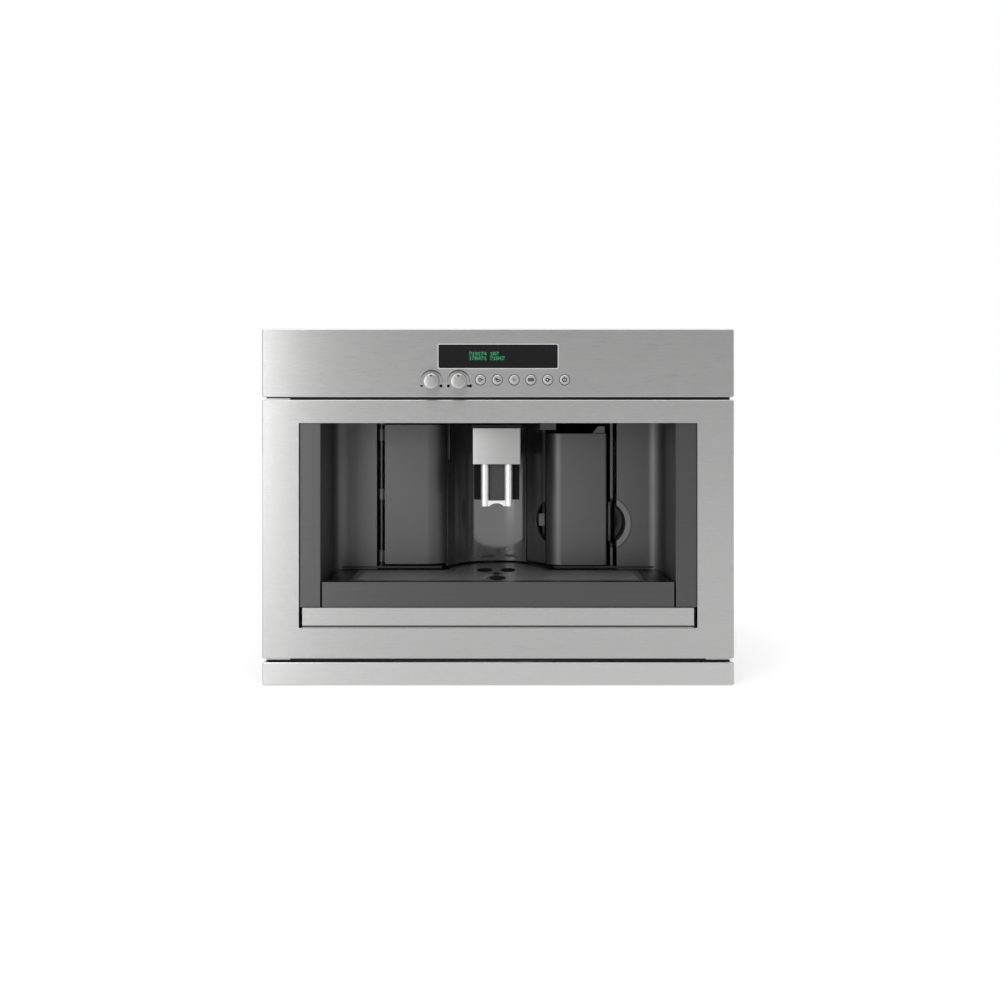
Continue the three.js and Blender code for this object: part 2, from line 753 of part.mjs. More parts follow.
function nicheLamp() {
  const top = ceiling - fit;
  return box(lampLeft, lampLeft + lampWidth, doorSetback, doorSetback + lampDepth, top - lampHeight, top);
}

piece("niche_bezel_left", bezelStrip(-1), anthracite);
piece("niche_bezel_right", bezelStrip(1), anthracite);
piece("niche_liner", nicheLiner(), darkGrey);
piece("bay_wall", bayWall(), glossBlack);
piece("niche_lamp", nicheLamp(), darkGrey);

// ------------------------------------------------------------------ service door and its hinge

// The door seen from above: flat on the left, round shoulder, then the hollow bay up to its free edge.
const shoulderX = -Math.sqrt((shoulderRadius + bayRadius) ** 2 - shoulderRadius ** 2);
const shoulderTurn = Math.atan2(shoulderRadius, -shoulderX);
const doorLeft = hingeX + doorLeftGap;
const freeEnd = degrees(90 - doorEdgeAngle);

function doorOutline(radius, inner) {
  const shoulderY = doorSetback + shoulderRadius;
  const flare = Math.PI - shoulderTurn;
  const shape = new THREE.Shape();
  shape.moveTo(doorLeft, doorSetback);
  shape.absarc(shoulderX, shoulderY, shoulderRadius, -Math.PI / 2, -shoulderTurn, false);
  shape.absarc(0, doorSetback, radius, flare, freeEnd, true);
  shape.absarc(0, doorSetback, bayRadius + inner, freeEnd, flare, false);
  shape.absarc(shoulderX, shoulderY, shoulderRadius - inner, -shoulderTurn, -Math.PI / 2, true);
  shape.lineTo(doorLeft, doorSetback + inner);
  return shape.closePath();
}

// The bay alone, between the radii, from its left end to its free edge.
function bayOutline(inner, outer) {
  const shape = new THREE.Shape();
  const leftEnd = Math.PI - shoulderTurn;
  shape.absarc(0, doorSetback, inner, leftEnd, freeEnd, true);
  shape.absarc(0, doorSetback, outer, freeEnd, leftEnd, false);
  return shape.closePath();
}

function serviceDoor() {
  const outer = bayRadius + doorWall;
  const knuckleFeet = [
    doorBottom + knuckleLower, (doorBottom + doorTop - knuckleLength) / 2, doorTop - knuckleUpper,
  ];
  const shell = join(
    upright(doorOutline(bayRadius, doorWall), doorBottom, doorTop, 8),
    upright(bayOutline(bayRadius, outer), bayBottom, doorBottom + over, 8),
    upright(bayOutline(bayRadius - hoodStep, outer), hoodBottom, doorTop, 8),
  );
  const ribs = [doorBottom, doorTop - ribThickness].map((z) =>
    upright(doorOutline(bayRadius, doorWall + ribReach), z, z + ribThickness, 8));
  const freeEdge = box(
    bayRadius * Math.cos(freeEnd) - ribGap, frontHalf,
    doorSetback + 0.8 * bayRadius, casingBack, 0, frontHeight,
  );
  const knuckles = knuckleFeet.map((z) =>
    join(
      rodZ(hingeX, hingeY, knuckleRadius, z, z + knuckleLength, 12),
      box(hingeX, doorLeft + doorWall, hingeY - knuckleWeb, hingeY + knuckleWeb, z, z + knuckleLength),
    ));
  return cut(
    join(shell, cut(join(...ribs), freeEdge), ...knuckles),
    rodZ(hingeX, hingeY, hingePinRadius + fit, 0, frontHeight, 12),
    rodY(spoutX, ductZ, ductRadius, doorSetback, doorSetback + outer + over, 12),
  );
}

piece("service_door", serviceDoor(), darkGrey);
piece("door_hinge_pin", rodZ(hingeX, hingeY, hingePinRadius, deckTop + fit, ceiling, 12), galvanised);

// ------------------------------------------------------------------ coffee spout

const spoutLeft = spoutX - spoutWidth / 2;
const spoutRight = spoutX + spoutWidth / 2;
const spoutBack = spoutSetback + spoutDepth;
const nozzleY = spoutSetback + coverSheet + fit + nozzleRadius + nozzleInset;
const carriageFront = nozzleY + nozzleRadius + fit;
const carriageTop = spoutTop - coverSheet - spoutTravel - over;

function spoutCover() {
  const outer = rectangle(spoutLeft, spoutRight, spoutSetback, spoutBack, coverCorner);
  const inner = rectangle(
    spoutLeft + coverSheet, spoutRight - coverSheet, spoutSetback + coverSheet, spoutBack - coverSheet,
    coverCorner / 2,
  );
  return cut(
    upright(outer, spoutBottom, spoutTop, 3),
    upright(inner, spoutBottom - over, spoutTop - coverSheet, 3),
    rodY(spoutX, ductZ, ductHole, spoutBack - 2 * coverSheet, spoutBack + over, 16),
  );
}

// The duct that carries the spout on the door and brings the coffee to it.
function spoutBracket() {
  const duct = box(
    spoutX - bracketHalf, spoutX + bracketHalf, spoutBack + fit, doorSetback + bayRadius,
    spoutTop - bracketBottom, spoutTop - bracketTop,
  );
  const bay = upright(
    circle(0, doorSetback, bayRadius - hoodStep - fit, THREE.Shape), spoutTop - spoutHeight, spoutTop, 40,
  );
  return cut(duct.intersect(bay), rodY(spoutX, ductZ, ductRadius, spoutBack, doorSetback + bayRadius, 12));
}

// The black body that slides in the cover, ribbed between its nozzles.
function spoutCarriage() {
  const half = spoutWidth / 2 - coverSheet - running;
  const bottom = nozzleBottom + carriageLift;
  const plate = rectangle(spoutX - half, spoutX + half, bottom, carriageTop, carriageCorner);
  const ribs = Array.from({ length: carriageRibs }, (_, i) => {
    const x = spoutX + (i - (carriageRibs - 1) / 2) * carriageRibPitch;
    return box(
      x - carriageRib / 2, x + carriageRib / 2, carriageFront - carriageRib, carriageFront + over,
      bottom + over, carriageTop - carriageCorner,
    );
  });
  return join(facing(plate, carriageFront, spoutBack - coverSheet - running, 5), ...ribs);
}

// Two polished nozzles joined by an arched web at their mouths.
function spoutNozzles() {
  const xs = [-1, 1].map((side) => spoutX + (side * nozzlePitch) / 2);
  const web = box(
    xs[0], xs[1], nozzleY - webThickness / 2, nozzleY + webThickness / 2,
    nozzleBottom, nozzleBottom + webHeight,
  );
  const arch = rodY(
    spoutX, nozzleBottom - archDrop, archRadius, nozzleY - webThickness, nozzleY + webThickness, 28,
  );
  return cut(
    join(...xs.map((x) => rodZ(x, nozzleY, nozzleRadius, nozzleBottom, carriageTop, 20)), web),
    arch,
    ...xs.map((x) => rodZ(x, nozzleY, nozzleBore, nozzleBottom - over, carriageTop + over, 12)),
  );
}

piece("spout_cover", spoutCover(), stainless);
piece("spout_bracket", spoutBracket(), satinBlack);
piece("spout_carriage", spoutCarriage(), satinBlack);
piece("spout_nozzles", spoutNozzles(), polished);

// ------------------------------------------------------------------ water tank

// The tank seen from above; its front left corner follows the door's shoulder.
function tankOutline(inset) {
  const left = tankLeft + inset;
  const right = tankRight - inset;
  const front = doorSetback + inset;
  const back = tankBack - inset;
  const shoulder = tankShoulder - inset;
  const shape = new THREE.Shape();
  shape.moveTo(right, front).lineTo(right, back).lineTo(left, back).lineTo(left, front + shoulder);
  shape.absarc(left + shoulder, front + shoulder, shoulder, Math.PI, 1.5 * Math.PI, false);
  return shape.closePath();
}

const tankSkin = tankWall + fit;
const lidTop = tankTop + lidHeight;

// The dark cover clipped on the front of the tank, wrapped round its shoulder.
function tankFront() {
  return cut(
    upright(tankOutline(0), tankBottom, lidTop, 10),
    upright(tankOutline(tankWall), tankBottom - over, lidTop + over, 10),
    box(0, frontWidth, doorSetback + coverWrap, casingBack, 0, frontHeight),
  );
}

function waterTank() {
  return cut(
    upright(tankOutline(tankSkin), tankBottom, tankTop, 10),
    upright(tankOutline(tankSkin + tankWall), tankBottom + tankWall, tankTop + over, 10),
  );
}

// The tank's lid with its filling hole and the raised pull at its front right.
function tankLid() {
  const plate = upright(tankOutline(tankSkin), tankTop + fit, tankTop + fit + lidPlate, 10);
  const pullRight = tankRight - pullInset;
  const pullLeft = pullRight - pullWidth;
  const pullTop = lidTop + pullRise;
  const pull = polygon([
    [pullLeft, tankTop + lidPlate], [pullLeft, lidTop], [pullLeft + pullSlope, pullTop],
    [pullRight, pullTop], [pullRight, tankTop + lidPlate],
  ]);
  const front = doorSetback + tankSkin;
  const fillHole = rectangle(
    tankLeft + fillInset, tankRight - fillInset,
    tankBack - fillBack - fillLength, tankBack - fillBack, fillCorner,
  );
  return cut(
    join(plate, facing(pull, front, front + pullDepth)),
    upright(fillHole, tankTop - over, tankTop + lidPlate + 2 * over, 4),
  );
}

piece("water_tank", waterTank(), smoke);
piece("tank_front", tankFront(), darkGrey);
piece("tank_lid", tankLid(), darkGrey);

// ------------------------------------------------------------------ decks

// A deck between the casing's sides, with its ends folded up.
function deck(top, y0, y1) {
  const half = casingHalf - steel - fit;
  const plate = box(-half, half, y0, y1, top - deckSheet, top);
  const folds = [-half, half - deckSheet].map((x) =>
    box(x, x + deckSheet, y0, y1, top - over, top + deckFold));
  return join(plate, ...folds);
}

// The chamber's floor, notched with eight-sided clearance round the bay, with a socket for the hinge pin.
function chamberDeck() {
  const sides = 8;
  const across = (bayRadius + doorWall + bayClearance) / Math.cos(Math.PI / sides);
  const notch = polygon(Array.from({ length: sides }, (_, i) => {
    const angle = ((i + 0.5) * 2 * Math.PI) / sides;
    return [across * Math.cos(angle), doorSetback + across * Math.sin(angle)];
  }));
  const socket = rodZ(hingeX, hingeY, knuckleRadius, deckTop - over, doorBottom - fit, 12);
  return cut(
    join(deck(deckTop, doorSetback - deckLead, casingBack - deckBackSpace), socket),
    upright(notch, deckBottom - over, deckTop + over),
    rodZ(hingeX, hingeY, hingePinRadius + fit, deckTop, doorBottom, 12),
  );
}

piece("chamber_deck", chamberDeck(), satinBlack);
piece("tray_shelf", deck(shelfTop, sideFront + steel + fit, trayBack + shelfBackSpace), galvanised);

// ------------------------------------------------------------------ drip tray

// The tray seen from above: a rectangle with a round lobe that reaches into the bay.
function trayOutline(half, front, back, lobe) {
  const shape = new THREE.Shape();
  const reach = back - doorSetback;
  const side = Math.sqrt(lobe ** 2 - reach ** 2);
  const angle = Math.atan2(reach, side);
  shape.moveTo(-half, front).lineTo(half, front).lineTo(half, back).lineTo(side, back);
  shape.absarc(0, doorSetback, lobe, angle, Math.PI - angle, false);
  shape.lineTo(-half, back);
  return shape.closePath();
}

// A basin under a wide rim; its front wall stands behind the pull strip and closes the niche.
function dripTray() {
  const front = linerFront;
  const rimBack = gridBack + trayRimLedge;
  const rimLobe = gridLobe + trayRimLedge;
  const rimBottom = trayRim - trayRimThickness;
  const basinHalf = gridHalf + basinShell;
  const basinFront = gridFront + gridSeat - trayWall;
  const apronHalf = trayStripHalf - fit;
  const apronBack = bezelSetback + trayFrontWall;
  const body = join(
    upright(trayOutline(basinHalf, basinFront, rimBack, rimLobe), trayBottom, trayRim, 14),
    upright(trayOutline(trayRimHalf, front, rimBack, rimLobe), rimBottom, trayRim, 14),
    box(-trayFrontHalf, trayFrontHalf, bezelSetback, apronBack, trayBottom, trayRim),
    box(-apronHalf, apronHalf, bezelSetback, apronBack, trayBottom, bezelBottom - fit),
    box(-basinHalf, basinHalf, bezelSetback, basinFront + over, trayBottom, trayBottom + trayWall),
  );
  const basin = trayOutline(
    gridHalf - gridSeat, gridFront + gridSeat, gridBack - gridSeat, gridLobe - gridSeat,
  );
  const recess = trayOutline(gridHalf + fit, gridFront - fit, gridBack + fit, gridLobe + fit);
  return cut(
    body,
    upright(basin, trayBottom + trayWall, trayRim + over, 14),
    upright(recess, gridBottom - fit, trayRim + over, 14),
  );
}

// The stainless strip that the tray is pulled by: a folded channel in front of it.
function trayStrip() {
  const z0 = trayBottom - stripDrop;
  const z1 = bezelBottom - fit;
  const front = stripSetback;
  const back = bezelSetback - fit;
  const shape = polygon([
    [front, z0], [back, z0], [back, z0 + sheet], [front + sheet, z0 + sheet], [front + sheet, z1 - sheet],
    [back, z1 - sheet], [back, z1], [front, z1],
  ]);
  return sideways(shape, -trayStripHalf, trayStripHalf);
}

// The perforated grid, with three round drains and the small one between them.
function dripGrid() {
  const plate = upright(trayOutline(gridHalf, gridFront, gridBack, gridLobe), gridBottom, gridTop, 14);
  const drains = [
    [drainLeftX, drainRearY, drainRadius], [drainRightX, drainRearY, drainRadius],
    [drainFrontX, drainFrontY, drainRadius], [smallDrainX, smallDrainY, smallDrainRadius],
  ];
  const holes = drains.map(([x, y, radius]) => rodZ(x, y, radius, gridBottom - over, gridTop + over, 18));
  const pitchX = (2 * (gridHalf - gridEdge)) / gridColumns;
  const half = gridHole / 2;
  for (let row = 0; row < gridRows; row += 1) {
    const y = gridFront + gridEdge + half + row * gridPitch;
    for (let column = 0; column < gridColumns; column += 1) {
      const x = (column - (gridColumns - 1) / 2) * pitchX;
      const inLobe = Math.hypot(x, y - doorSetback) < gridLobe - gridEdge - half;
      const onSheet = inLobe || y < gridBack - gridEdge - half;
      const clear = drains.every(([dx, dy, radius]) =>
        Math.hypot(x - dx, y - dy) > radius + Math.SQRT2 * half + fit);
      if (onSheet && clear) {
        holes.push(box(x - half, x + half, y - half, y + half, gridBottom - over, gridTop + over));
      }
    }
  }
  return cut(plate, join(...holes));
}

piece("drip_tray", dripTray(), anthracite);
piece("tray_strip", trayStrip(), stainless);
piece("drip_grid", dripGrid(), stainless);

// ------------------------------------------------------------------ casing

// A side panel seen from above, with its front and back edges folded inwards.
function sidePanel(side) {
  const x = (value) => value * side;
  const outer = casingHalf;
  const inner = casingHalf - steel;
  const fold = casingHalf - steelFold;
  const back = casingBack - steel - fit;
  const shape = polygon([
    [x(fold), sideFront], [x(outer), sideFront], [x(outer), back], [x(fold), back], [x(fold), back - steel],
    [x(inner), back - steel], [x(inner), sideFront + steel], [x(fold), sideFront + steel],
  ]);
  return upright(shape, casingFloor + steel + fit, casingTop - fit);
}

function basePlate() {
  const inner = casingHalf - steelFold - steel - fit;
  const plate = box(-casingHalf, casingHalf, sideFront, casingBack, casingFloor, casingFloor + steel);
  const fold = (y) => box(-inner, inner, y, y + steel, casingFloor, casingFloor + steelFold);
  return join(plate, fold(sideFront + 2 * steel), fold(casingBack - steelFold));
}

const socketHalf = 13.5; // half the width of the mains inlet's body
const socketTall = 10;
const rockerHalf = 4.9;
const rockerTall = 8;
const housingWall = 1.3;

// The rear panel with two banks of ventilation slots, and cut-outs for the inlet and the switch.
function rearPanel() {
  const y0 = casingBack - 2 * steel;
  const y1 = casingBack + steel;
  const plate = box(
    -casingHalf, casingHalf, casingBack - steel, casingBack, casingFloor + steel + fit, casingTop - fit,
  );
  const firstVent = casingTop - ventDrop - (ventRows - 1) * ventPitch;
  const vents = [-ventColumn, ventColumn].flatMap((x) =>
    Array.from({ length: ventRows }, (_, i) => {
      const z = firstVent + i * ventPitch;
      return box(x - ventHalf, x + ventHalf, y0, y1, z, z + ventHeight);
    }));
  const opening = (x, half, tall) => box(x - half, x + half, y0, y1, inletZ - tall, inletZ + tall);
  return cut(
    plate,
    ...vents,
    opening(inletX, socketHalf + fit, socketTall + fit),
    opening(switchX, rockerHalf + fit + housingWall + fit, rockerTall + 2 * housingWall + fit),
  );
}

const lidFoot = casingTop + steel + fit;
const barrelZ = lidFoot + lidSheet + fit;

// Where each lid lies on top: [x0, x1, y0, y1].
const beanLidPlace = [
  hopperLeft - lidLap / 2, hopperRight + lidLap / 2, hopperFront - lidLap, hopperBack + lidLap,
];
const chuteLidPlace = [
  chuteX - chuteWidth / 2 - lidLap, chuteX + chuteWidth / 2 + lidLap,
  chuteY - chuteLength / 2 - lidLap, chuteY + chuteLength / 2 + lidLap,
];

// Two ears on the top panel that hold a lid's barrel, each with its pin.
function lidEars([x0, x1, , y]) {
  const ear = (a, b) => box(a, b, y - barrelRadius, y + barrelRadius, casingTop, barrelZ + barrelRadius);
  const left = x0 + barrelInset - fit;
  const right = x1 - barrelInset + fit;
  return join(
    ear(left - earWidth, left),
    ear(right, right + earWidth),
    rodX(y, barrelZ, earPinRadius, left - over, left + earWidth, 8),
    rodX(y, barrelZ, earPinRadius, right - earWidth, right + over, 8),
  );
}

function topPanel() {
  const plate = box(-casingHalf, casingHalf, sideFront, casingBack, casingTop, casingTop + steel);
  const z0 = casingTop - over;
  const z1 = casingTop + steel + over;
  const hopperHole = box(
    hopperLeft + hopperWall, hopperRight - hopperWall,
    hopperFront + hopperWall, hopperBack - hopperWall, z0, z1,
  );
  const chuteHole = box(
    chuteX - chuteWidth / 2, chuteX + chuteWidth / 2,
    chuteY - chuteLength / 2, chuteY + chuteLength / 2, z0, z1,
  );
  const shaftHole = rodZ(grindKnobX, grindKnobY, grindShaftRadius + steel, z0, z1, 12);
  return join(cut(plate, hopperHole, chuteHole, shaftHole), lidEars(beanLidPlace), lidEars(chuteLidPlace));
}

piece("side_panel_left", sidePanel(-1), galvanised);
piece("side_panel_right", sidePanel(1), galvanised);
piece("base_plate", basePlate(), galvanised);
piece("rear_panel", rearPanel(), galvanised);
piece("top_panel", topPanel(), galvanised);

// ------------------------------------------------------------------ telescopic rails

// One channel of a rail seen from the front. open is +1 where it opens away from the middle of the machine.
function railChannel(side, web, height, reach, open) {
  const x = (value) => value * side;
  const z0 = railMiddleZ - height / 2;
  const z1 = railMiddleZ + height / 2;
  const lip = web + open * reach;
  const inside = web + open * railSteel;
  return polygon([
    [x(web), z0], [x(lip), z0], [x(lip), z0 + railSteel], [x(inside), z0 + railSteel],
    [x(inside), z1 - railSteel], [x(lip), z1 - railSteel], [x(lip), z1], [x(web), z1],
  ]);
}

const railReach = railSpace - fit - railPlay;
const middleHeight = railHeight - 2 * railSteel - 2 * fit;
const innerHeight = middleHeight - 2 * railSteel - 2 * fit;

for (const [word, side] of [["left", -1], ["right", 1]]) {
  const run = (...channel) => facing(railChannel(side, ...channel), railFront, railFront + railLength);
  const middleWeb = nicheWallHalf - railSteel - fit;
  piece("rail_outer_" + word, run(nicheWallHalf, railHeight, railReach, -1), galvanised);
  piece("rail_middle_" + word, run(middleWeb, middleHeight, railReach - railStep, -1), galvanised);
  piece("rail_inner_" + word, run(casingHalf + fit, innerHeight, railReach - railStep - fit, 1), galvanised);
}

// ------------------------------------------------------------------ beans, grinder and chute

const hopperTop = casingTop - fit;
const hopperBottom = hopperTop - hopperDepth;

function beanHopper() {
  const floorRear = hopperBottom + funnelRise;
  const floorFront = floorRear + funnelSlope;
  const rearLip = throatY + throatRadius - throatStep;
  const outer = box(hopperLeft, hopperRight, hopperFront, hopperBack, hopperBottom, hopperTop);
  const well = polygon([
    [hopperFront + hopperWall, hopperTop + over], [hopperFront + hopperWall, floorFront],
    [throatY - throatRadius, hopperBottom + hopperWall], [rearLip, hopperBottom + hopperWall],
    [hopperBack - hopperWall, floorRear], [hopperBack - hopperWall, hopperTop + over],
  ]);
  const below = polygon([
    [hopperFront - over, hopperBottom - over], [hopperFront - over, floorFront - 1.5 * hopperWall],
    [throatY - throatRadius - 2 * hopperWall, hopperBottom - over],
  ]);
  return cut(
    outer,
    sideways(well, hopperLeft + hopperWall, hopperRight - hopperWall),
    sideways(below, hopperLeft - over, hopperRight + over),
    rodZ(throatX, throatY, throatRadius, hopperBottom - over, hopperBottom + 2 * hopperWall, 16),
  );
}

const grinderTop = hopperBottom - fit;
const burrRadius = 37;
const burrHeight = 30;
const collarRadius = 19;
const collarHeight = 14;
const collarSink = 2;
const motorRadius = 34;
const motorHeight = 86;
const adjusterRadius = 11;
const adjusterHeight = 12;
const adjusterDrop = 22;
const armHalf = 7;
const armHeight = 8;
const footHalf = 30;

function grinder() {
  const burrTop = grinderTop - collarHeight + collarSink;
  const burrBottom = burrTop - burrHeight;
  const motorBottom = burrBottom - motorHeight;
  const adjusterTop = grinderTop - adjusterDrop;
  const adjusterBottom = adjusterTop - adjusterHeight;
  const feet = box(
    throatX - footHalf, throatX + footHalf, throatY - footHalf, throatY + footHalf,
    deckTop + fit, motorBottom + over,
  );
  const arm = box(
    throatX, grindKnobX, grindKnobY - armHalf, grindKnobY + armHalf,
    adjusterBottom, adjusterBottom + armHeight,
  );
  return cut(
    join(
      rodZ(throatX, throatY, motorRadius, motorBottom, burrBottom + over),
      rodZ(throatX, throatY, burrRadius, burrBottom, burrTop),
      rodZ(throatX, throatY, collarRadius, burrTop - over, grinderTop, 16),
      rodZ(grindKnobX, grindKnobY, adjusterRadius, adjusterBottom, adjusterTop, 16),
      arm,
      feet,
    ),
    rodZ(throatX, throatY, throatRadius, burrBottom + burrHeight / 2, grinderTop + over, 16),
    rodZ(grindKnobX, grindKnobY, grindShaftRadius + fit, adjusterBottom + sheet, adjusterTop + over, 12),
  );
}

function grindKnob() {
  const top = lidFoot + grindKnobHeight;
  const cap = rodZ(grindKnobX, grindKnobY, grindKnobRadius, lidFoot, top);
  const pointer = box(
    grindKnobX - sheet, grindKnobX + sheet,
    grindKnobY - grindKnobRadius + over, grindKnobY, top - over, top + over,
  );
  const shaftFoot = grinderTop - adjusterDrop - adjusterHeight + 2 * sheet;
  return join(cap, pointer, rodZ(grindKnobX, grindKnobY, grindShaftRadius, shaftFoot, lidFoot + over, 12));
}

const outletLift = 13;
const infuserTop = ductZ - outletLift;

function groundsChute() {
  const outline = (grow) => rectangle(
    chuteX - chuteWidth / 2 - grow, chuteX + chuteWidth / 2 + grow,
    chuteY - chuteLength / 2 - grow, chuteY + chuteLength / 2 + grow, lidCorner - chuteWall + grow,
  );
  return cut(
    upright(outline(chuteWall), infuserTop + fit, hopperTop, 2),
    upright(outline(0), infuserTop - over, hopperTop + over, 2),
  );
}

// A lid on top of the casing, hinged along its rear edge between the ears.
function topLid([x0, x1, y0, y1]) {
  const middle = (x0 + x1) / 2;
  const plate = upright(rectangle(x0, x1, y0, y1, lidCorner), lidFoot, lidFoot + lidSheet, 3);
  const lip = box(
    middle - lidLipHalf, middle + lidLipHalf, y0 - lidLip, y0 + lidLip, lidFoot + fit, lidFoot + lidSheet,
  );
  const left = x0 + barrelInset;
  const right = x1 - barrelInset;
  // The slots clear the corners of the ears while the lid swings up.
  const slotFront = y1 - Math.SQRT2 * barrelRadius - fit;
  const slots = [left - earWidth - 2 * fit, right].map((x) => box(
    x, x + earWidth + 2 * fit, slotFront, y1 + over, lidFoot - over, lidFoot + lidSheet + over,
  ));
  const pins = [left, right].map((x) =>
    rodX(y1, barrelZ, earPinRadius + fit, x - earWidth - 2 * fit, x + earWidth + 2 * fit, 8));
  return cut(join(plate, lip, rodX(y1, barrelZ, barrelRadius, left, right, 10)), ...slots, ...pins);
}

piece("bean_hopper", beanHopper(), smoke);
piece("grinder", grinder(), satinBlack);
piece("grind_knob", grindKnob(), satinBlack);
piece("grounds_chute", groundsChute(), satinBlack);
piece("bean_lid", topLid(beanLidPlace), satinBlack);
piece("chute_lid", topLid(chuteLidPlace), satinBlack);

// ------------------------------------------------------------------ brewing and water inside

const infuserGap = 16; // infuser behind the bay
const infuserDepth = 140;
const infuserLeft = 34; // from the chute's middle
const infuserRight = 40;
const infuserWall = 12;
const infuserSill = 40;
const pistonRadius = 21;
const pistonLift = 30;
const bowlDepth = 12;
const outletHalf = 10;
const outletRise = 10;
const handleWidth = 20;
const handleHeight = 14;
const handleReach = 6;

// The brewing unit: a frame with its piston, a bowl below the chute, a handle, and the outlet to the spout.
function infuser() {
  const left = chuteX - infuserLeft;
  const right = chuteX + infuserRight;
  const front = doorSetback + bayRadius + infuserGap;
  const back = front + infuserDepth;
  const floor = deckTop + fit;
  const frame = box(left, right, front, back, floor, infuserTop);
  const window = box(
    left + infuserWall, right - infuserWall, front - over, back - infuserSill,
    floor + infuserSill, infuserTop - infuserSill,
  );
  const piston = rodZ(
    (left + right) / 2, front + infuserDepth / 3, pistonRadius, floor + pistonLift, infuserTop - pistonLift,
  );
  const bowl = box(
    chuteX - chuteWidth / 2, chuteX + chuteWidth / 2, chuteY - chuteLength / 2, chuteY + chuteLength / 2,
    infuserTop - bowlDepth, infuserTop + over,
  );
  const handle = box(
    left + handleReach, left + handleReach + handleWidth, front - handleReach, front + over,
    floor + handleWidth, floor + handleWidth + handleHeight,
  );
  const outletFront = doorSetback + bayRadius + doorWall + fit + over;
  const outlet = join(
    box(
      right - infuserWall, spoutX + outletHalf, front, front + 2 * outletHalf,
      infuserTop - outletRise, ductZ + outletRise,
    ),
    rodY(spoutX, ductZ, ductRadius + housingWall, outletFront, front + over, 16),
  );
  const outletBore = rodY(spoutX, ductZ, ductRadius - housingWall, doorSetback, front + outletHalf, 12);
  return cut(join(cut(frame, window), piston, handle, outlet), bowl, outletBore);
}

const containerGap = 12; // from the hinge pin
const containerInset = 24; // behind the door's face
const containerDepth = 180;
const containerHeight = 82;
const containerWall = 2;
const containerGrip = 6;
const containerGripDrop = 14;

function groundsContainer() {
  const x0 = hingeX + containerGap;
  const x1 = chuteX - infuserLeft - 2 * containerWall;
  const y0 = doorSetback + containerInset;
  const y1 = y0 + containerDepth;
  const floor = deckTop + fit;
  const outer = upright(rectangle(x0, x1, y0, y1, lidCorner), floor, floor + containerHeight, 3);
  const inner = upright(rectangle(
    x0 + containerWall, x1 - containerWall, y0 + containerWall, y1 - containerWall, lidCorner - containerWall,
  ), floor + containerWall, floor + containerHeight + over, 3);
  const gripZ0 = floor + containerHeight - containerGripDrop - containerGrip;
  const grip = box(
    x0 + containerGap, x1 - containerGap, y0 - containerGrip, y0 + over, gripZ0, gripZ0 + containerGrip,
  );
  return join(cut(outer, inner), grip);
}

const boilerInset = 49; // boiler's and pump's middle from the casing's side
const boilerSetback = 86; // behind the niche's back panels
const boilerRadius = 36;
const boilerHeight = 126;
const boilerFoot = 26;
const boilerLift = 14;
const boilerCap = 5;
const boilerCapHeight = 8;
const boilerOutlet = 6;
const boilerOutletHeight = 20;

function boiler() {
  const x = boilerInset - casingHalf;
  const y = nicheDepth + boilerSetback;
  const bottom = deckTop + boilerLift;
  const top = bottom + boilerHeight;
  const capBottom = top - 2 * boilerCapHeight;
  return join(
    rodZ(x, y, boilerRadius, bottom, top, 20),
    box(x - boilerFoot, x + boilerFoot, y - boilerFoot, y + boilerFoot, deckTop + fit, bottom + over),
    rodZ(x, y, boilerRadius + boilerCap, capBottom, capBottom + boilerCapHeight, 20),
    rodZ(x, y, boilerOutlet, top - over, top + boilerOutletHeight, 12),
  );
}

const pumpHalf = 22;
const pumpLength = 60;
const pumpHeight = 50;
const pumpFootReach = 13;
const pumpBackSpace = 87; // from the pump's body to the back of the casing
const pumpInlet = 9;
const pumpOutlet = 6;

function pump() {
  const x = boilerInset - casingHalf;
  const floor = casingFloor + steel + fit;
  const back = casingBack - pumpBackSpace;
  const front = back - pumpLength;
  const middle = floor + pumpHeight / 2;
  return join(
    box(
      x - pumpHalf + sheet, x + pumpHalf - sheet, front - pumpFootReach, back + pumpFootReach,
      floor, floor + pumpFootReach / 3,
    ),
    box(x - pumpHalf, x + pumpHalf, front, back, floor + sheet, floor + pumpHeight),
    rodY(x, middle, pumpInlet, front - 1.5 * pumpFootReach, front + over, 16),
    rodY(x, middle, pumpOutlet, back - over, back + 2 * pumpFootReach, 12),
  );
}

const powerBoardFront = 210;
const powerBoardBack = 370;
const powerBoardBottom = 170;
const powerBoardTop = 300;
const spacerLength = 8;
const spacerRadius = 3;
const spacerInset = 10;
const relayHeight = 16.4;
const relayLength = 25;
const relayPitch = 45;
const relayTall = 32;
const relayLift = 20;
const transformerHeight = 30.4;
const transformerLength = 60;
const transformerTall = 45;

// The power board stands off the right side panel on four spacers.
function powerBoard() {
  const wall = casingHalf - steel - fit;
  const back = wall - spacerLength;
  const face = back - boardThickness;
  const board = box(face, back, powerBoardFront, powerBoardBack, powerBoardBottom, powerBoardTop);
  const spacers = [powerBoardFront + spacerInset, powerBoardBack - spacerInset].flatMap((y) =>
    [powerBoardBottom + spacerInset, powerBoardTop - spacerInset].map((z) =>
      rodX(y, z, spacerRadius, back - boardThickness / 2, wall, 10)));
  const relays = [0, 1, 2].map((i) => {
    const y = powerBoardFront + spacerInset + spacerRadius + i * relayPitch;
    const z = powerBoardBottom + relayLift;
    return box(face - relayHeight, back - boardThickness / 2, y, y + relayLength, z, z + relayTall);
  });
  const transformer = box(
    face - transformerHeight, back - boardThickness / 2,
    powerBoardFront + transformerLength / 2, powerBoardFront + 1.5 * transformerLength,
    powerBoardTop - transformerTall - spacerInset, powerBoardTop - spacerInset,
  );
  return join(board, ...spacers, ...relays, transformer);
}

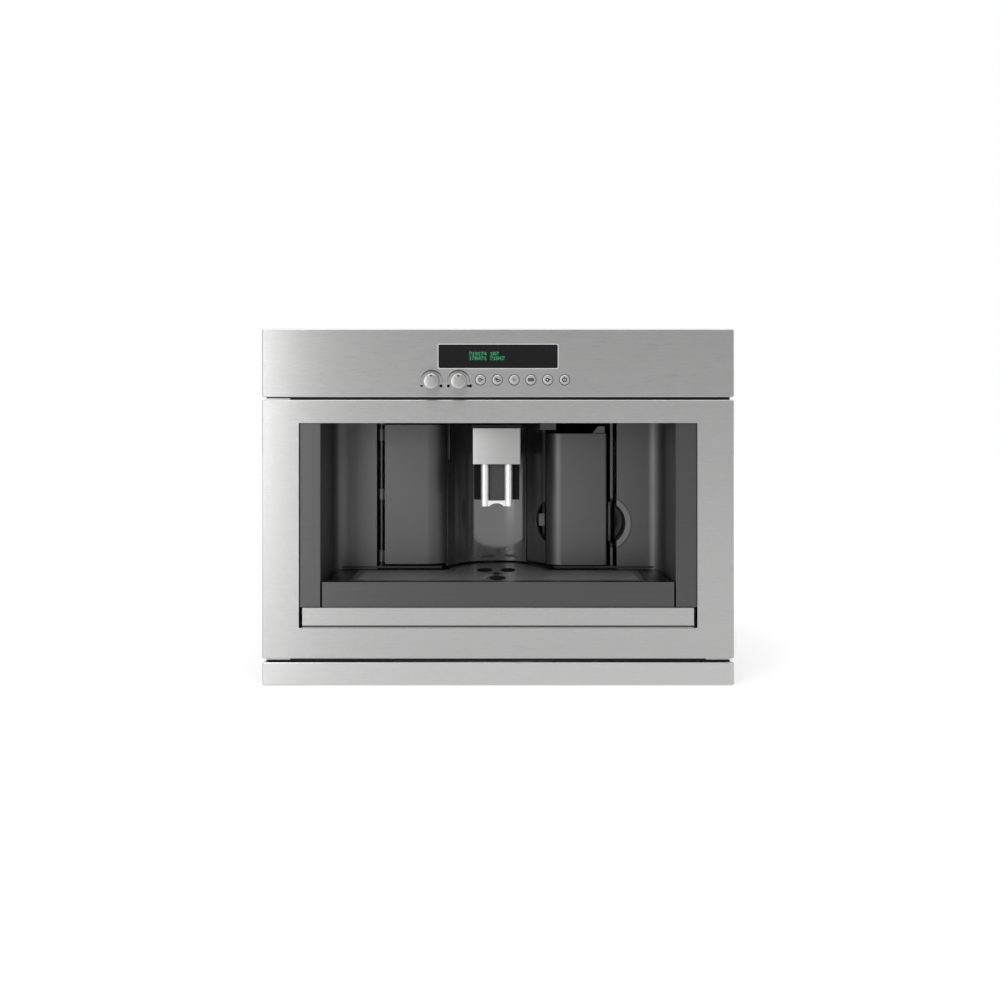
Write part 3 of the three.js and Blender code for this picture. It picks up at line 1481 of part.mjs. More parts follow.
piece("infuser", infuser(), satinBlack);
piece("grounds_container", groundsContainer(), satinBlack);
piece("boiler", boiler(), aluminium);
piece("pump", pump(), satinBlack);
piece("power_board", powerBoard(), circuitGreen);

// ------------------------------------------------------------------ mains inlet and switch

const housingDepth = 20;
const housingFlange = 4;
const socketShell = 2.5;
const pinPitch = 7;
const pinWidth = 2;
const pinHeight = 4;
const earthPinRise = 3;

// A flanged body with a well in its rear face.
function rearHousing(x, half, tall, flangeDepth, well, wellDepth) {
  const flange = box(
    x - half - housingFlange, x + half + housingFlange, rearFace, rearFace + flangeDepth,
    inletZ - tall - housingFlange, inletZ + tall + housingFlange,
  );
  const body = box(
    x - half, x + half, casingBack - housingDepth, rearFace + over, inletZ - tall, inletZ + tall,
  );
  const hollow = box(
    x - half + well, x + half - well, casingBack - wellDepth, rearFace + 2 * flangeDepth,
    inletZ - tall + well, inletZ + tall - well,
  );
  return cut(join(flange, body), hollow);
}

function mainsInlet() {
  const pins = [-pinPitch, 0, pinPitch].map((offset) => {
    const z = inletZ + (offset ? 0 : earthPinRise);
    const x = inletX + offset;
    return box(
      x - pinWidth / 2, x + pinWidth / 2, casingBack - 0.75 * housingDepth, rearFace - pinWidth,
      z - pinHeight / 2, z + pinHeight / 2,
    );
  });
  const socket = rearHousing(
    inletX, socketHalf, socketTall, inletFlange, socketShell, 0.7 * housingDepth,
  );
  return join(socket, ...pins);
}

function switchHousing() {
  const half = rockerHalf + fit + housingWall;
  const tall = rockerTall + 2 * housingWall;
  return rearHousing(switchX, half, tall, inletFlange / 2, housingWall, 0.6 * housingDepth);
}

// The rocker turns about a pivot along X; its rear face is bent in the middle.
function mainsSwitch() {
  const turn = degrees(rockerTilt);
  const pivotY = casingBack - housingDepth / 5;
  const outline = [
    [-5, -3], [3, -rockerTall], [6.4, -rockerTall], [4.2, 0], [6.4, rockerTall], [3, rockerTall], [-5, 3],
  ].map(([y, z]) => [
    pivotY + y * Math.cos(turn) - z * Math.sin(turn),
    inletZ + y * Math.sin(turn) + z * Math.cos(turn),
  ]);
  return sideways(polygon(outline), switchX - rockerHalf, switchX + rockerHalf);
}

piece("mains_inlet", mainsInlet(), satinBlack);
piece("switch_housing", switchHousing(), satinBlack);
piece("mains_switch", mainsSwitch(), satinBlack);

export default machine;
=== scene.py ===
# A built-in coffee machine in a plain studio.
# Piece outlines are written in millimetres from the stainless front face: X to the right, Y back
# into the cabinet, Z up from the lower edge. `place` turns them into the metres of the model.
import math

import bmesh
import bpy
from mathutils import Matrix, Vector


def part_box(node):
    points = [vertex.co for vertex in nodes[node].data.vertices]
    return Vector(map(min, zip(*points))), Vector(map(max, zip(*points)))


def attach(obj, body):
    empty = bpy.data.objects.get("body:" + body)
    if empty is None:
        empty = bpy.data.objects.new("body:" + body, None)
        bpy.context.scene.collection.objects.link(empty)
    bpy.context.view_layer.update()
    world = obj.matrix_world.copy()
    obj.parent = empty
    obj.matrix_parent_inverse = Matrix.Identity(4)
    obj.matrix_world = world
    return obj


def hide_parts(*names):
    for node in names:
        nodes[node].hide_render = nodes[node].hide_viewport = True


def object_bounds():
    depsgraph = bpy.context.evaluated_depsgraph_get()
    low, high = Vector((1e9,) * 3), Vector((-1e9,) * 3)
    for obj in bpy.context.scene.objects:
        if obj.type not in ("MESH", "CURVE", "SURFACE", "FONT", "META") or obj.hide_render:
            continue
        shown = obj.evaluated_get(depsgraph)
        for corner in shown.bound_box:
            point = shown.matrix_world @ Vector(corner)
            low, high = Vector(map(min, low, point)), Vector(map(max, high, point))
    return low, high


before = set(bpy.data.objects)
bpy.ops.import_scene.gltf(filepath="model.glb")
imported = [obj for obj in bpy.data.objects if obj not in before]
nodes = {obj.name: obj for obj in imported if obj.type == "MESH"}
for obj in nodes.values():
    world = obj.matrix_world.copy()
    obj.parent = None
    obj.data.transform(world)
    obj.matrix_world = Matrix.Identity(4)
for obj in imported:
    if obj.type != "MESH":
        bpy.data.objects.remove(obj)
cad_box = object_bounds()

MM = 0.001
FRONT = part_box("front_frame")[0].y  # the stainless front face


def place(x, y, z):
    return Vector((x * MM, FRONT + y * MM, z * MM))


def box_of(node):
    """The node's corners in millimetres: (x0, y0, z0), (x1, y1, z1)."""
    return [(c.x / MM, (c.y - FRONT) / MM, c.z / MM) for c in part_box(node)]


# ------------------------------------------------------------------ camera

VIEW_DISTANCE = 1.3
FRAME_PIXELS = 1000
FOCAL_PIXELS = 1032.2  # focal length in pixels of that frame
EYE_HEIGHT = 0.3343
VANISHING_X, VANISHING_Y = 498.1, 420.0  # pixel that the camera looks at squarely


def make_camera():
    data = bpy.data.cameras.new("camera")
    data.sensor_width = 36
    data.lens = data.sensor_width * FOCAL_PIXELS / FRAME_PIXELS
    data.shift_x = (FRAME_PIXELS / 2 - VANISHING_X) / FRAME_PIXELS
    data.shift_y = (VANISHING_Y - FRAME_PIXELS / 2) / FRAME_PIXELS
    camera = bpy.data.objects.new("camera", data)
    camera.location = (0, FRONT - VIEW_DISTANCE, EYE_HEIGHT)
    camera.rotation_euler = (math.pi / 2, 0, 0)
    bpy.context.scene.collection.objects.link(camera)
    bpy.context.scene.camera = camera


# ------------------------------------------------------------------ node helpers

MIX_FIRST, MIX_SECOND, MIX_RESULT = 6, 7, 2  # the colour sockets of a Mix node


def shade(color, factor):
    return tuple(c * factor for c in color)


def map_range(tree, value, low, high, to_low=0.0, to_high=1.0):
    made = tree.nodes.new("ShaderNodeMapRange")
    tree.links.new(value, made.inputs["Value"])
    made.inputs["From Min"].default_value = low
    made.inputs["From Max"].default_value = high
    made.inputs["To Min"].default_value = to_low
    made.inputs["To Max"].default_value = to_high
    return made.outputs[0]


class Finish:
    """A Principled material and the nodes that drive it."""

    def __init__(self, name, color, roughness, metallic=0.0, **sockets):
        self.color = color
        self.material = bpy.data.materials.new(name)
        self.material.use_nodes = True
        self.tree = self.material.node_tree
        self.shader = self.tree.nodes["Principled BSDF"]
        self.set("Base Color", (*color, 1))
        self.set("Roughness", roughness)
        self.set("Metallic", metallic)
        for socket, value in sockets.items():
            self.set(socket.replace("_", " "), value)

    def set(self, socket, value):
        self.shader.inputs[socket].default_value = value

    def node(self, kind, **inputs):
        made = self.tree.nodes.new(kind)
        for socket, value in inputs.items():
            self.feed(made, socket.replace("_", " "), value)
        return made

    def feed(self, target, socket, value):
        if isinstance(value, bpy.types.NodeSocket):
            self.tree.links.new(value, target.inputs[socket])
        else:
            target.inputs[socket].default_value = value

    def drive(self, socket, output):
        self.tree.links.new(output, self.shader.inputs[socket])

    def place(self, stretch=(1, 1, 1)):
        coordinates = self.tree.nodes.new("ShaderNodeTexCoord").outputs["Object"]
        return self.node("ShaderNodeMapping", Vector=coordinates, Scale=stretch).outputs[0]

    def noise(self, scale, stretch=(1, 1, 1), detail=3.0):
        where = self.place(stretch)
        made = self.node("ShaderNodeTexNoise", Vector=where, Scale=scale, Detail=detail)
        return made.outputs["Fac"]

    def blend(self, factor, first, second):
        made = self.tree.nodes.new("ShaderNodeMix")
        made.data_type = "RGBA"
        self.feed(made, "Factor", factor)
        for index, value in ((MIX_FIRST, first), (MIX_SECOND, second)):
            if isinstance(value, bpy.types.NodeSocket):
                self.tree.links.new(value, made.inputs[index])
            else:
                made.inputs[index].default_value = (*value, 1)
        return made.outputs[MIX_RESULT]

    def vary_color(self, factor, darkest, lightest):
        """Moves the base colour between two shades of itself."""
        first, second = shade(self.color, darkest), shade(self.color, lightest)
        self.drive("Base Color", self.blend(factor, first, second))

    def vary_roughness(self, factor, lowest, highest):
        """Spreads the middle half of a noise over a range of roughness."""
        self.drive("Roughness", map_range(self.tree, factor, 0.25, 0.75, lowest, highest))

    def bump(self, height, distance, strength):
        made = self.node("ShaderNodeBump", Height=height, Distance=distance, Strength=strength)
        self.drive("Normal", made.outputs[0])


# ------------------------------------------------------------------ materials

QUARTER_TURN = 0.25  # lays the stretched highlight across the brush marks


def brushed(name, color, roughness, stretch, spread=0.06, anisotropic=0.0, depth=0.00002):
    """Brushed metal; stretch is short along the brush marks and long across them."""
    metal = Finish(name, color, roughness, 1.0)
    metal.set("Anisotropic", anisotropic)
    metal.set("Anisotropic Rotation", QUARTER_TURN)
    marks = metal.noise(1.0, stretch, 2.0)
    fine = metal.noise(1.0, tuple(s * 4.3 for s in stretch), 1.0)
    metal.vary_color(marks, 1 - spread, 1 + spread)
    metal.vary_roughness(fine, roughness - 0.04, roughness + 0.05)
    metal.bump(fine, depth, 0.5)
    return metal.material


def lacquer(name, color, roughness, metallic):
    """Smooth metallic lacquer with a very faint orange peel and flake."""
    coat = Finish(name, color, roughness, metallic)
    flake = coat.noise(900, detail=2.0)
    cloud = coat.noise(14, detail=3.0)
    coat.vary_color(flake, 0.9, 1.1)
    coat.vary_roughness(cloud, roughness - 0.02, roughness + 0.03)
    coat.bump(coat.noise(650, detail=1.0), 0.00001, 0.4)
    return coat.material


def moulding(name, color, roughness, grain=1400, specular=0.5):
    """Moulded plastic with a fine spark-eroded grain."""
    plastic = Finish(name, color, roughness)
    plastic.set("Specular IOR Level", specular)
    grains = plastic.noise(grain, detail=2.0)
    plastic.vary_color(plastic.noise(25), 0.85, 1.15)
    plastic.vary_roughness(grains, roughness - 0.06, roughness + 0.06)
    plastic.bump(grains, 0.00004, 0.5)
    return plastic.material


def zinc(name):
    """Galvanised sheet with its crystalline spangle."""
    sheet = Finish(name, (0.42, 0.43, 0.44), 0.42, 0.9)
    cells = sheet.node("ShaderNodeTexVoronoi", Vector=sheet.place(), Scale=110.0)
    tone = sheet.node("ShaderNodeSeparateColor", Color=cells.outputs["Color"]).outputs[0]
    sheet.vary_color(tone, 0.88, 1.1)
    sheet.vary_roughness(tone, 0.36, 0.5)
    sheet.bump(sheet.noise(300, detail=4.0), 0.00003, 0.4)
    return sheet.material


def clear(name, color):
    """Clear smoke-grey moulding."""
    plastic = Finish(name, color, 0.08, IOR=1.5, Transmission_Weight=0.85)
    haze = plastic.noise(60, detail=2.0)
    plastic.vary_roughness(haze, 0.06, 0.14)
    plastic.bump(plastic.noise(120, detail=1.0), 0.00004, 0.3)
    return plastic.material


def board(name):
    """Green solder resist over copper tracks."""
    resist = Finish(name, (0.01, 0.09, 0.035), 0.35)
    tracks = resist.node("ShaderNodeTexBrick", Vector=resist.place((260, 260, 260)), Scale=1.0)
    tracks.inputs["Mortar Size"].default_value = 0.12
    color = resist.blend(tracks.outputs["Fac"], (0.008, 0.07, 0.03), (0.02, 0.16, 0.06))
    resist.drive("Base Color", color)
    resist.bump(tracks.outputs["Fac"], 0.00005, 0.4)
    return resist.material


def cast(name, color, roughness):
    """Dull cast or rolled metal."""
    metal = Finish(name, color, roughness, 1.0)
    grain = metal.noise(500, detail=4.0)
    metal.vary_color(grain, 0.85, 1.1)
    metal.vary_roughness(grain, roughness - 0.08, roughness + 0.1)
    metal.bump(grain, 0.0001, 0.5)
    return metal.material


def gloss(name, color, roughness, metallic=0.0):
    """Polished surface with faint smears."""
    skin = Finish(name, color, roughness, metallic)
    smears = skin.noise(18, (1, 1, 2.5), 4.0)
    skin.vary_roughness(smears, roughness, roughness + 0.05)
    skin.vary_color(smears, 0.92, 1.08)
    return skin.material


def turned(name, color, roughness, centre):
    """Face turned on a lathe: rings round an axis along Y through centre (x, z) in millimetres."""
    metal = Finish(name, color, roughness, 1.0)
    coordinates = metal.tree.nodes.new("ShaderNodeTexCoord").outputs["Object"]
    centred = metal.node("ShaderNodeVectorMath", Vector=coordinates)
    centred.operation = "SUBTRACT"
    centred.inputs[1].default_value = (centre[0] * MM, 0, centre[1] * MM)
    flat = metal.node("ShaderNodeVectorMath", Vector=centred.outputs[0])
    flat.operation = "MULTIPLY"
    flat.inputs[1].default_value = (1, 0, 1)
    length = metal.node("ShaderNodeVectorMath", Vector=flat.outputs[0])
    length.operation = "LENGTH"
    rings = metal.tree.nodes.new("ShaderNodeTexNoise")
    rings.noise_dimensions = "1D"
    metal.tree.links.new(length.outputs["Value"], rings.inputs["W"])
    rings.inputs["Scale"].default_value = 5000
    height = rings.outputs["Fac"]
    metal.vary_color(height, 0.93, 1.06)
    metal.vary_roughness(height, roughness - 0.05, roughness + 0.06)
    metal.bump(height, 0.00002, 0.5)
    return metal.material


def glow(name, color, strength):
    """A lit surface, a little uneven."""
    light = Finish(name, (0, 0, 0), 0.3)
    grain = light.noise(700, detail=2.0)
    light.drive("Emission Color", light.blend(grain, shade(color, 0.7), color))
    light.set("Emission Strength", strength)
    return light.material


def front_finish(name, color):
    """The horizontally brushed steel of the front."""
    return brushed(name, color, 0.3, (12, 80, 1500), 0.045, anisotropic=0.88)


# The three front steels are one brushed steel in three colours: the fascia's darker copy is
# painted shade and the lower fascia's lighter copy is painted light.
FRONT_STEEL = front_finish("front_steel", (0.465, 0.465, 0.463))
FASCIA_STEEL_SHADED = front_finish("fascia_steel_painted_shade", (0.435, 0.435, 0.433))
LOWER_STEEL_LIT = front_finish("lower_steel_painted_light", (0.555, 0.555, 0.553))
SPOUT_STEEL = brushed(
    "spout_steel", (0.46, 0.46, 0.457), 0.42, (30, 200, 3000), 0.03, depth=0.00001
)
GRID_STEEL = brushed("grid_steel", (0.32, 0.32, 0.32), 0.4, (500, 500, 500), 0.04)
NOZZLE = gloss("nozzle_satin", (0.93, 0.93, 0.93), 0.32, 0.6)
CHROME = gloss("chrome", (0.92, 0.92, 0.92), 0.05, 1.0)
ZINC = zinc("zinc")
RAIL_ZINC = cast("rail_zinc", (0.45, 0.46, 0.47), 0.35)
ANTHRACITE = brushed(
    "anthracite", (0.1, 0.1, 0.101), 0.34, (9, 60, 800), 0.08, anisotropic=0.7, depth=0.00001
)
LACQUER = lacquer("dark_lacquer", (0.118, 0.118, 0.119), 0.45, 0.85)
# A lighter copy of the dark lacquer: painted highlight for the light on the finger grip's bevel.
GRIP_HIGHLIGHT_LACQUER = lacquer("grip_lacquer_painted_highlight", (0.16, 0.16, 0.16), 0.5, 0.7)
# Lighter than the dark mouldings round it: painted highlight on the tank's catch, which sits in
# shade.
CATCH_HIGHLIGHT_GREY = moulding("catch_painted_highlight", (0.2, 0.2, 0.2), 0.4)
BLACK_GLOSS = gloss("black_gloss", (0.13, 0.13, 0.132), 0.06, 0.55)
SATIN_BLACK = moulding("satin_black", (0.016, 0.016, 0.017), 0.42)
CARRIAGE = moulding("carriage_grey", (0.07, 0.07, 0.07), 0.45)
DEEP_BLACK = moulding("deep_black", (0.01, 0.01, 0.01), 0.6)
# Near-black without sheen: painted shade, in the drains and on the carriage's wings.
SHADE_BLACK = moulding("painted_shade_black", (0.012, 0.012, 0.012), 0.9, specular=0.08)
BAY_SATIN = gloss("bay_satin", (0.1, 0.1, 0.102), 0.22, 0.5)
LENS = moulding("lamp_lens", (0.11, 0.11, 0.11), 0.35)
WINDOW = gloss("display_glass", (0.008, 0.008, 0.009), 0.12)
SMOKE = clear("smoke", (0.35, 0.37, 0.4))
BOARD = board("circuit_board")
ALUMINIUM = cast("aluminium", (0.62, 0.63, 0.64), 0.4)
CAP_SILVER = lacquer("cap_silver", (0.44, 0.44, 0.437), 0.4, 0.65)
# Pale lacquer for the painted highlight round the display's window.
EDGE_HIGHLIGHT = lacquer("display_painted_highlight", (0.85, 0.85, 0.85), 0.5, 0.3)
INK = moulding("ink", (0.006, 0.006, 0.006), 0.8, specular=0.15)
# Pale grey for the printed steam sign, and for the painted shade above the knobs and round the
# buttons.
PALE_INK_AND_SHADE = moulding("pale_ink_and_painted_shade", (0.06, 0.06, 0.06), 0.6)
LIT_DOTS = glow("lit_dots", (0.12, 0.95, 0.45), 1.5)
LIT_FIELD = glow("lit_field", (0.0, 0.3, 0.09), 0.13)

NODE_FINISH = {
    FRONT_STEEL: ["front_frame", "tray_strip"],
    FASCIA_STEEL_SHADED: ["control_fascia"],
    LOWER_STEEL_LIT: ["lower_fascia"],
    SPOUT_STEEL: ["spout_cover"],
    GRID_STEEL: ["drip_grid"],
    CHROME: ["quantity_knob", "strength_knob"],
    NOZZLE: ["spout_nozzles"],
    ZINC: [
        "side_panel_left", "side_panel_right", "base_plate", "rear_panel", "top_panel",
        "tray_shelf",
    ],
    RAIL_ZINC: [n for n in nodes if n.startswith("rail_")],
    ANTHRACITE: ["niche_bezel_left", "niche_bezel_right", "drip_tray"],
    LACQUER: ["niche_liner", "tank_front", "tank_lid", "service_door", "door_hinge_pin"],
    LENS: ["niche_lamp"],
    BLACK_GLOSS: ["bay_wall"],
    SATIN_BLACK: [
        "spout_bracket", "grinder", "grind_knob", "grounds_chute", "bean_lid", "chute_lid",
        "infuser", "grounds_container", "pump", "mains_inlet", "switch_housing", "mains_switch",
        "chamber_deck",
    ],
    CARRIAGE: ["spout_carriage"],
    WINDOW: ["display_window"],
    DEEP_BLACK: ["display_module", "front_carrier"],
    SMOKE: ["water_tank", "bean_hopper"],
    BOARD: ["control_board", "power_board"],
    ALUMINIUM: ["boiler"],
    CAP_SILVER: [n for n in nodes if n.startswith("button_")],
}

SMOOTH_ANGLE = 35  # faces that meet at less are shaded as one surface
BEVEL_ANGLE = 40  # edges sharper than this are rounded


def dress_nodes():
    """Gives every CAD node its finish, also the ones that a piece replaces."""
    for material, names in NODE_FINISH.items():
        for name in names:
            mesh = nodes[name].data
            mesh.materials.clear()
            mesh.materials.append(material)
            mesh.shade_smooth()
            mesh.set_sharp_from_angle(angle=math.radians(SMOOTH_ANGLE))
            nodes[name].modifiers.new("normals", "WEIGHTED_NORMAL").keep_sharp = True


# ------------------------------------------------------------------ piece helpers


def mesh_from(name, points, faces):
    """A mesh of points in millimetres, merged where they meet and turned outwards."""
    mesh = bpy.data.meshes.new(name)
    mesh.from_pydata([place(*p) for p in points], [], faces)
    clean = bmesh.new()
    clean.from_mesh(mesh)
    bmesh.ops.remove_doubles(clean, verts=clean.verts, dist=1e-7)
    bmesh.ops.recalc_face_normals(clean, faces=clean.faces)
    clean.to_mesh(mesh)
    clean.free()
    return mesh


def add_piece(
    mesh, material, body, hides=(), smooth_angle=SMOOTH_ANGLE, edge=0.0, segments=2
):
    """Links a finished mesh as a piece that rides on a body, with its edges rounded by edge mm."""
    mesh.materials.append(material)
    mesh.shade_smooth()
    mesh.set_sharp_from_angle(angle=math.radians(smooth_angle))
    piece = bpy.data.objects.new(mesh.name, mesh)
    bpy.context.scene.collection.objects.link(piece)
    if edge:
        bevel = piece.modifiers.new("edges", "BEVEL")
        bevel.width = edge * MM
        bevel.segments = segments
        bevel.limit_method = "ANGLE"
        bevel.angle_limit = math.radians(BEVEL_ANGLE)
        bevel.harden_normals = True
    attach(piece, body)
    if hides:
        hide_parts(*hides)
    return piece


def on_circle(centre, radius, angle):
    """The point at an angle in degrees from the first axis."""
    a = math.radians(angle)
    return centre[0] + radius * math.cos(a), centre[1] + radius * math.sin(a)


def arc(centre, radius, start, end, steps):
    """Points on a circle from one angle to another."""
    angles = [start + (end - start) * i / steps for i in range(steps + 1)]
    return [on_circle(centre, radius, angle) for angle in angles]


def prism(outline, spot):
    """Points and faces of a closed outline at two depths; spot(a, b, side) gives each point."""
    count = len(outline)
    points = [spot(a, b, side) for side in (0, 1) for a, b in outline]
    faces = [tuple(range(count)), tuple(range(2 * count - 1, count - 1, -1))]
    faces += [(i, (i + 1) % count, count + (i + 1) % count, count + i) for i in range(count)]
    return points, faces


def upright(name, outline, low, high):
    """An outline of (x, y) standing from low to high."""
    return mesh_from(name, *prism(outline, lambda x, y, side: (x, y, high if side else low)))


def facing(name, outline, front, back):
    """An outline of (x, z) that faces the viewer, running from front to back."""
    return mesh_from(name, *prism(outline, lambda x, z, side: (x, back if side else front, z)))


def wall(name, front, back, low, high):
    """A closed upright wall between two lists of (x, y) points of equal length."""
    count = len(front)
    points = [(x, y, z) for z in (low, high) for x, y in front + back]
    faces = []
    for side in (0, count):
        for i in range(side, side + count - 1):
            faces.append((i, i + 1, i + 1 + 2 * count, i + 2 * count))
    for level in (0, 2 * count):
        for i in range(count - 1):
            faces.append((level + i, level + i + 1, level + count + i + 1, level + count + i))
    for i in (0, count - 1):
        faces.append((i, i + count, i + 3 * count, i + 2 * count))
    return mesh_from(name, points, faces)


def lathe(name, profile, centre, sides, axis="y"):
    """A profile of (radius, distance) turned about an axis along Y or Z through centre."""
    points, faces = [], []
    for radius, far in profile:
        for u, v in arc(centre, radius, 0, 360, sides)[:-1]:
            points.append((u, far, v) if axis == "y" else (u, v, far))
    for ring in range(len(profile) - 1):
        a, b = ring * sides, (ring + 1) * sides
        for i in range(sides):
            n = (i + 1) % sides
            faces.append((a + i, a + n, b + n, b + i))
    return mesh_from(name, points, faces)


def round_box(x0, x1, y0, y1, radius, steps):
    """A rectangle with round corners."""
    spots = ((x0, y0, 1, 1, 180), (x1, y0, -1, 1, 270), (x1, y1, -1, -1, 0), (x0, y1, 1, -1, 90))
    outline = []
    for x, y, sx, sy, start in spots:
        outline += arc((x + sx * radius, y + sy * radius), radius, start, start + 90, steps)
    return outline


class Strokes:
    """Thin flat shapes that reach half in front of and behind a plane face: print, lit dots, and
    painted shade and highlight.
    """

    def __init__(self, face, half):
        self.y0, self.y1 = face - half, face + half
        self.points, self.faces = [], []

    def strip(self, outer, inner, closed=False):
        """Fills the band between two lists of (x, z) points."""
        start, count = len(self.points), len(outer)
        for x, z in [*outer, *inner]:
            self.points += [(x, self.y0, z), (x, self.y1, z)]
        spans = count if closed else count - 1
        for i in range(spans):
            a, b = start + 2 * i, start + 2 * ((i + 1) % count)
            c, d = a + 2 * count, b + 2 * count
            self.faces += [(a, b, d, c), (a + 1, b + 1, d + 1, c + 1)]
            self.faces += [(a, b, b + 1, a + 1), (c, d, d + 1, c + 1)]
        if not closed:
            for i in (0, count - 1):
                a, c = start + 2 * i, start + 2 * (i + count)
                self.faces.append((a, a + 1, c + 1, c))

    def ring(self, centre, outer, inner, start=0, end=360, steps=24):
        closed = abs(end - start) >= 360
        edges = [arc(centre, radius, start, end, steps) for radius in (outer, inner)]
        if closed:
            edges = [edge[:-1] for edge in edges]
        self.strip(*edges, closed)

    def bar(self, x0, x1, z0, z1):
        self.strip([(x0, z0), (x1, z0)], [(x0, z1), (x1, z1)])

    def dot(self, centre, radius):
        self.ring(centre, radius, radius * 0.02, steps=16)

    def make(self, name, material, body, slot):
        return add_piece(mesh_from(name, self.points, self.faces), material, body)


# ------------------------------------------------------------------ service door and bay

BAY = 72  # radius of the hollow bay
WALL = 3.5  # thickness of the door's skin
SHOULDER = 30  # radius of the door's round shoulder
SETBACK = box_of("tank_front")[0][1]  # how far the door and the tank stand behind the front
DOOR_HEIGHT, HOOD_HEIGHT = 191.3, 48
BAY_LOW, DOOR_HIGH = box_of("service_door")[0][2], box_of("service_door")[1][2]
DOOR_LOW = DOOR_HIGH - DOOR_HEIGHT
HOOD_LOW = DOOR_HIGH - HOOD_HEIGHT
HOOD_STEP = 1.7  # how far the bay's upper band stands proud
DOOR_LEFT = -155.2
SHOULDER_X = -math.sqrt((SHOULDER + BAY) ** 2 - SHOULDER**2)
FLARE = math.degrees(math.asin(SHOULDER / (SHOULDER + BAY)))
SEAM = -23.6  # angle on the shoulder where the lacquer meets the glossy insert
DOOR_BAY_END, RIB_END = 56.4, 80  # angles round the bay where the insert and the ribs end
HINGE = (-160, SETBACK + 5)
OUTLET = (-2, 303.7)  # (x, z) of the outlet's collar
CENTRE = (0, SETBACK)
SHOULDER_CENTRE = (SHOULDER_X, SETBACK + SHOULDER)


def door_pieces():
    """The lacquered door, its glossy hollow insert, the ribs behind and the hinge knuckles."""

    def panel(depth):
        turn = arc(SHOULDER_CENTRE, SHOULDER - depth, -90, SEAM, 32)
        return [(DOOR_LEFT, SETBACK + depth)] + turn

    def hollow(depth, radius=BAY):
        turn = arc(SHOULDER_CENTRE, SHOULDER - depth, SEAM + 0.5, -FLARE, 4)[:-1]
        return turn + arc(CENTRE, radius + depth, 180 - FLARE, DOOR_BAY_END, 96)

    def rib(depth):
        turn = arc(SHOULDER_CENTRE, SHOULDER - depth, -90, -FLARE, 12)[:-1]
        bay = arc(CENTRE, BAY + depth, 180 - FLARE, RIB_END, 32)
        return [(DOOR_LEFT, SETBACK + depth)] + turn + bay

    def add(mesh, material, edge=0.3):
        add_piece(mesh, material, "service_door", ["service_door"], edge=edge)

    add(wall("door_panel", panel(0), panel(WALL), DOOR_LOW, DOOR_HIGH), LACQUER, edge=0.6)
    insert = wall("bay_insert", hollow(0), hollow(WALL), BAY_LOW, HOOD_LOW)
    add(insert, BLACK_GLOSS)
    hood = wall("bay_hood", hollow(0, BAY - HOOD_STEP), hollow(WALL), HOOD_LOW, DOOR_HIGH)
    add(hood, BLACK_GLOSS)
    for name, low in (("door_rib_low", DOOR_LOW), ("door_rib_high", DOOR_HIGH - 3)):
        add(wall(name, rib(WALL - 0.3), rib(WALL + 6.5), low + 0.1, low + 2.9), SATIN_BLACK)

    bore, outside, length = 2.1, 3.8, 16  # radii and length of a knuckle
    left, right = HINGE[0] + 3, DOOR_LEFT + WALL  # ends of its web
    front, back = HINGE[1] - 2.2, HINGE[1] + 2.2
    middle = (DOOR_LOW + DOOR_HIGH - length) / 2
    for index, low in enumerate((DOOR_LOW + 3, middle, DOOR_HIGH - length - 6), 1):
        high = low + length
        ring = [(bore, low), (outside, low), (outside, high), (bore, high), (bore, low)]
        add(lathe(f"knuckle_{index}", ring, HINGE, 32, "z"), LACQUER)
        web = [(left, front), (right, front), (right, back), (left, back)]
        add(upright(f"knuckle_web_{index}", web, low, high), SATIN_BLACK)
    outlet = [
        (0.2, 188.4), (4.8, 188.4), (4.8, 190.6), (7.4, 190.6), (7.8, 190.2), (7.8, 187.2),
    ]
    collar = lathe("outlet_collar", outlet, OUTLET, 40)
    add_piece(collar, DEEP_BLACK, "service_door")


GRIP_Z = BAY_LOW + 60.5  # middle of the finger grips beside the tank
BAY_WALL_FIRST, BAY_WALL_LAST = 54.9, 28.0  # angles round the bay between which the wall stands
BAY_WALL = 3  # its thickness


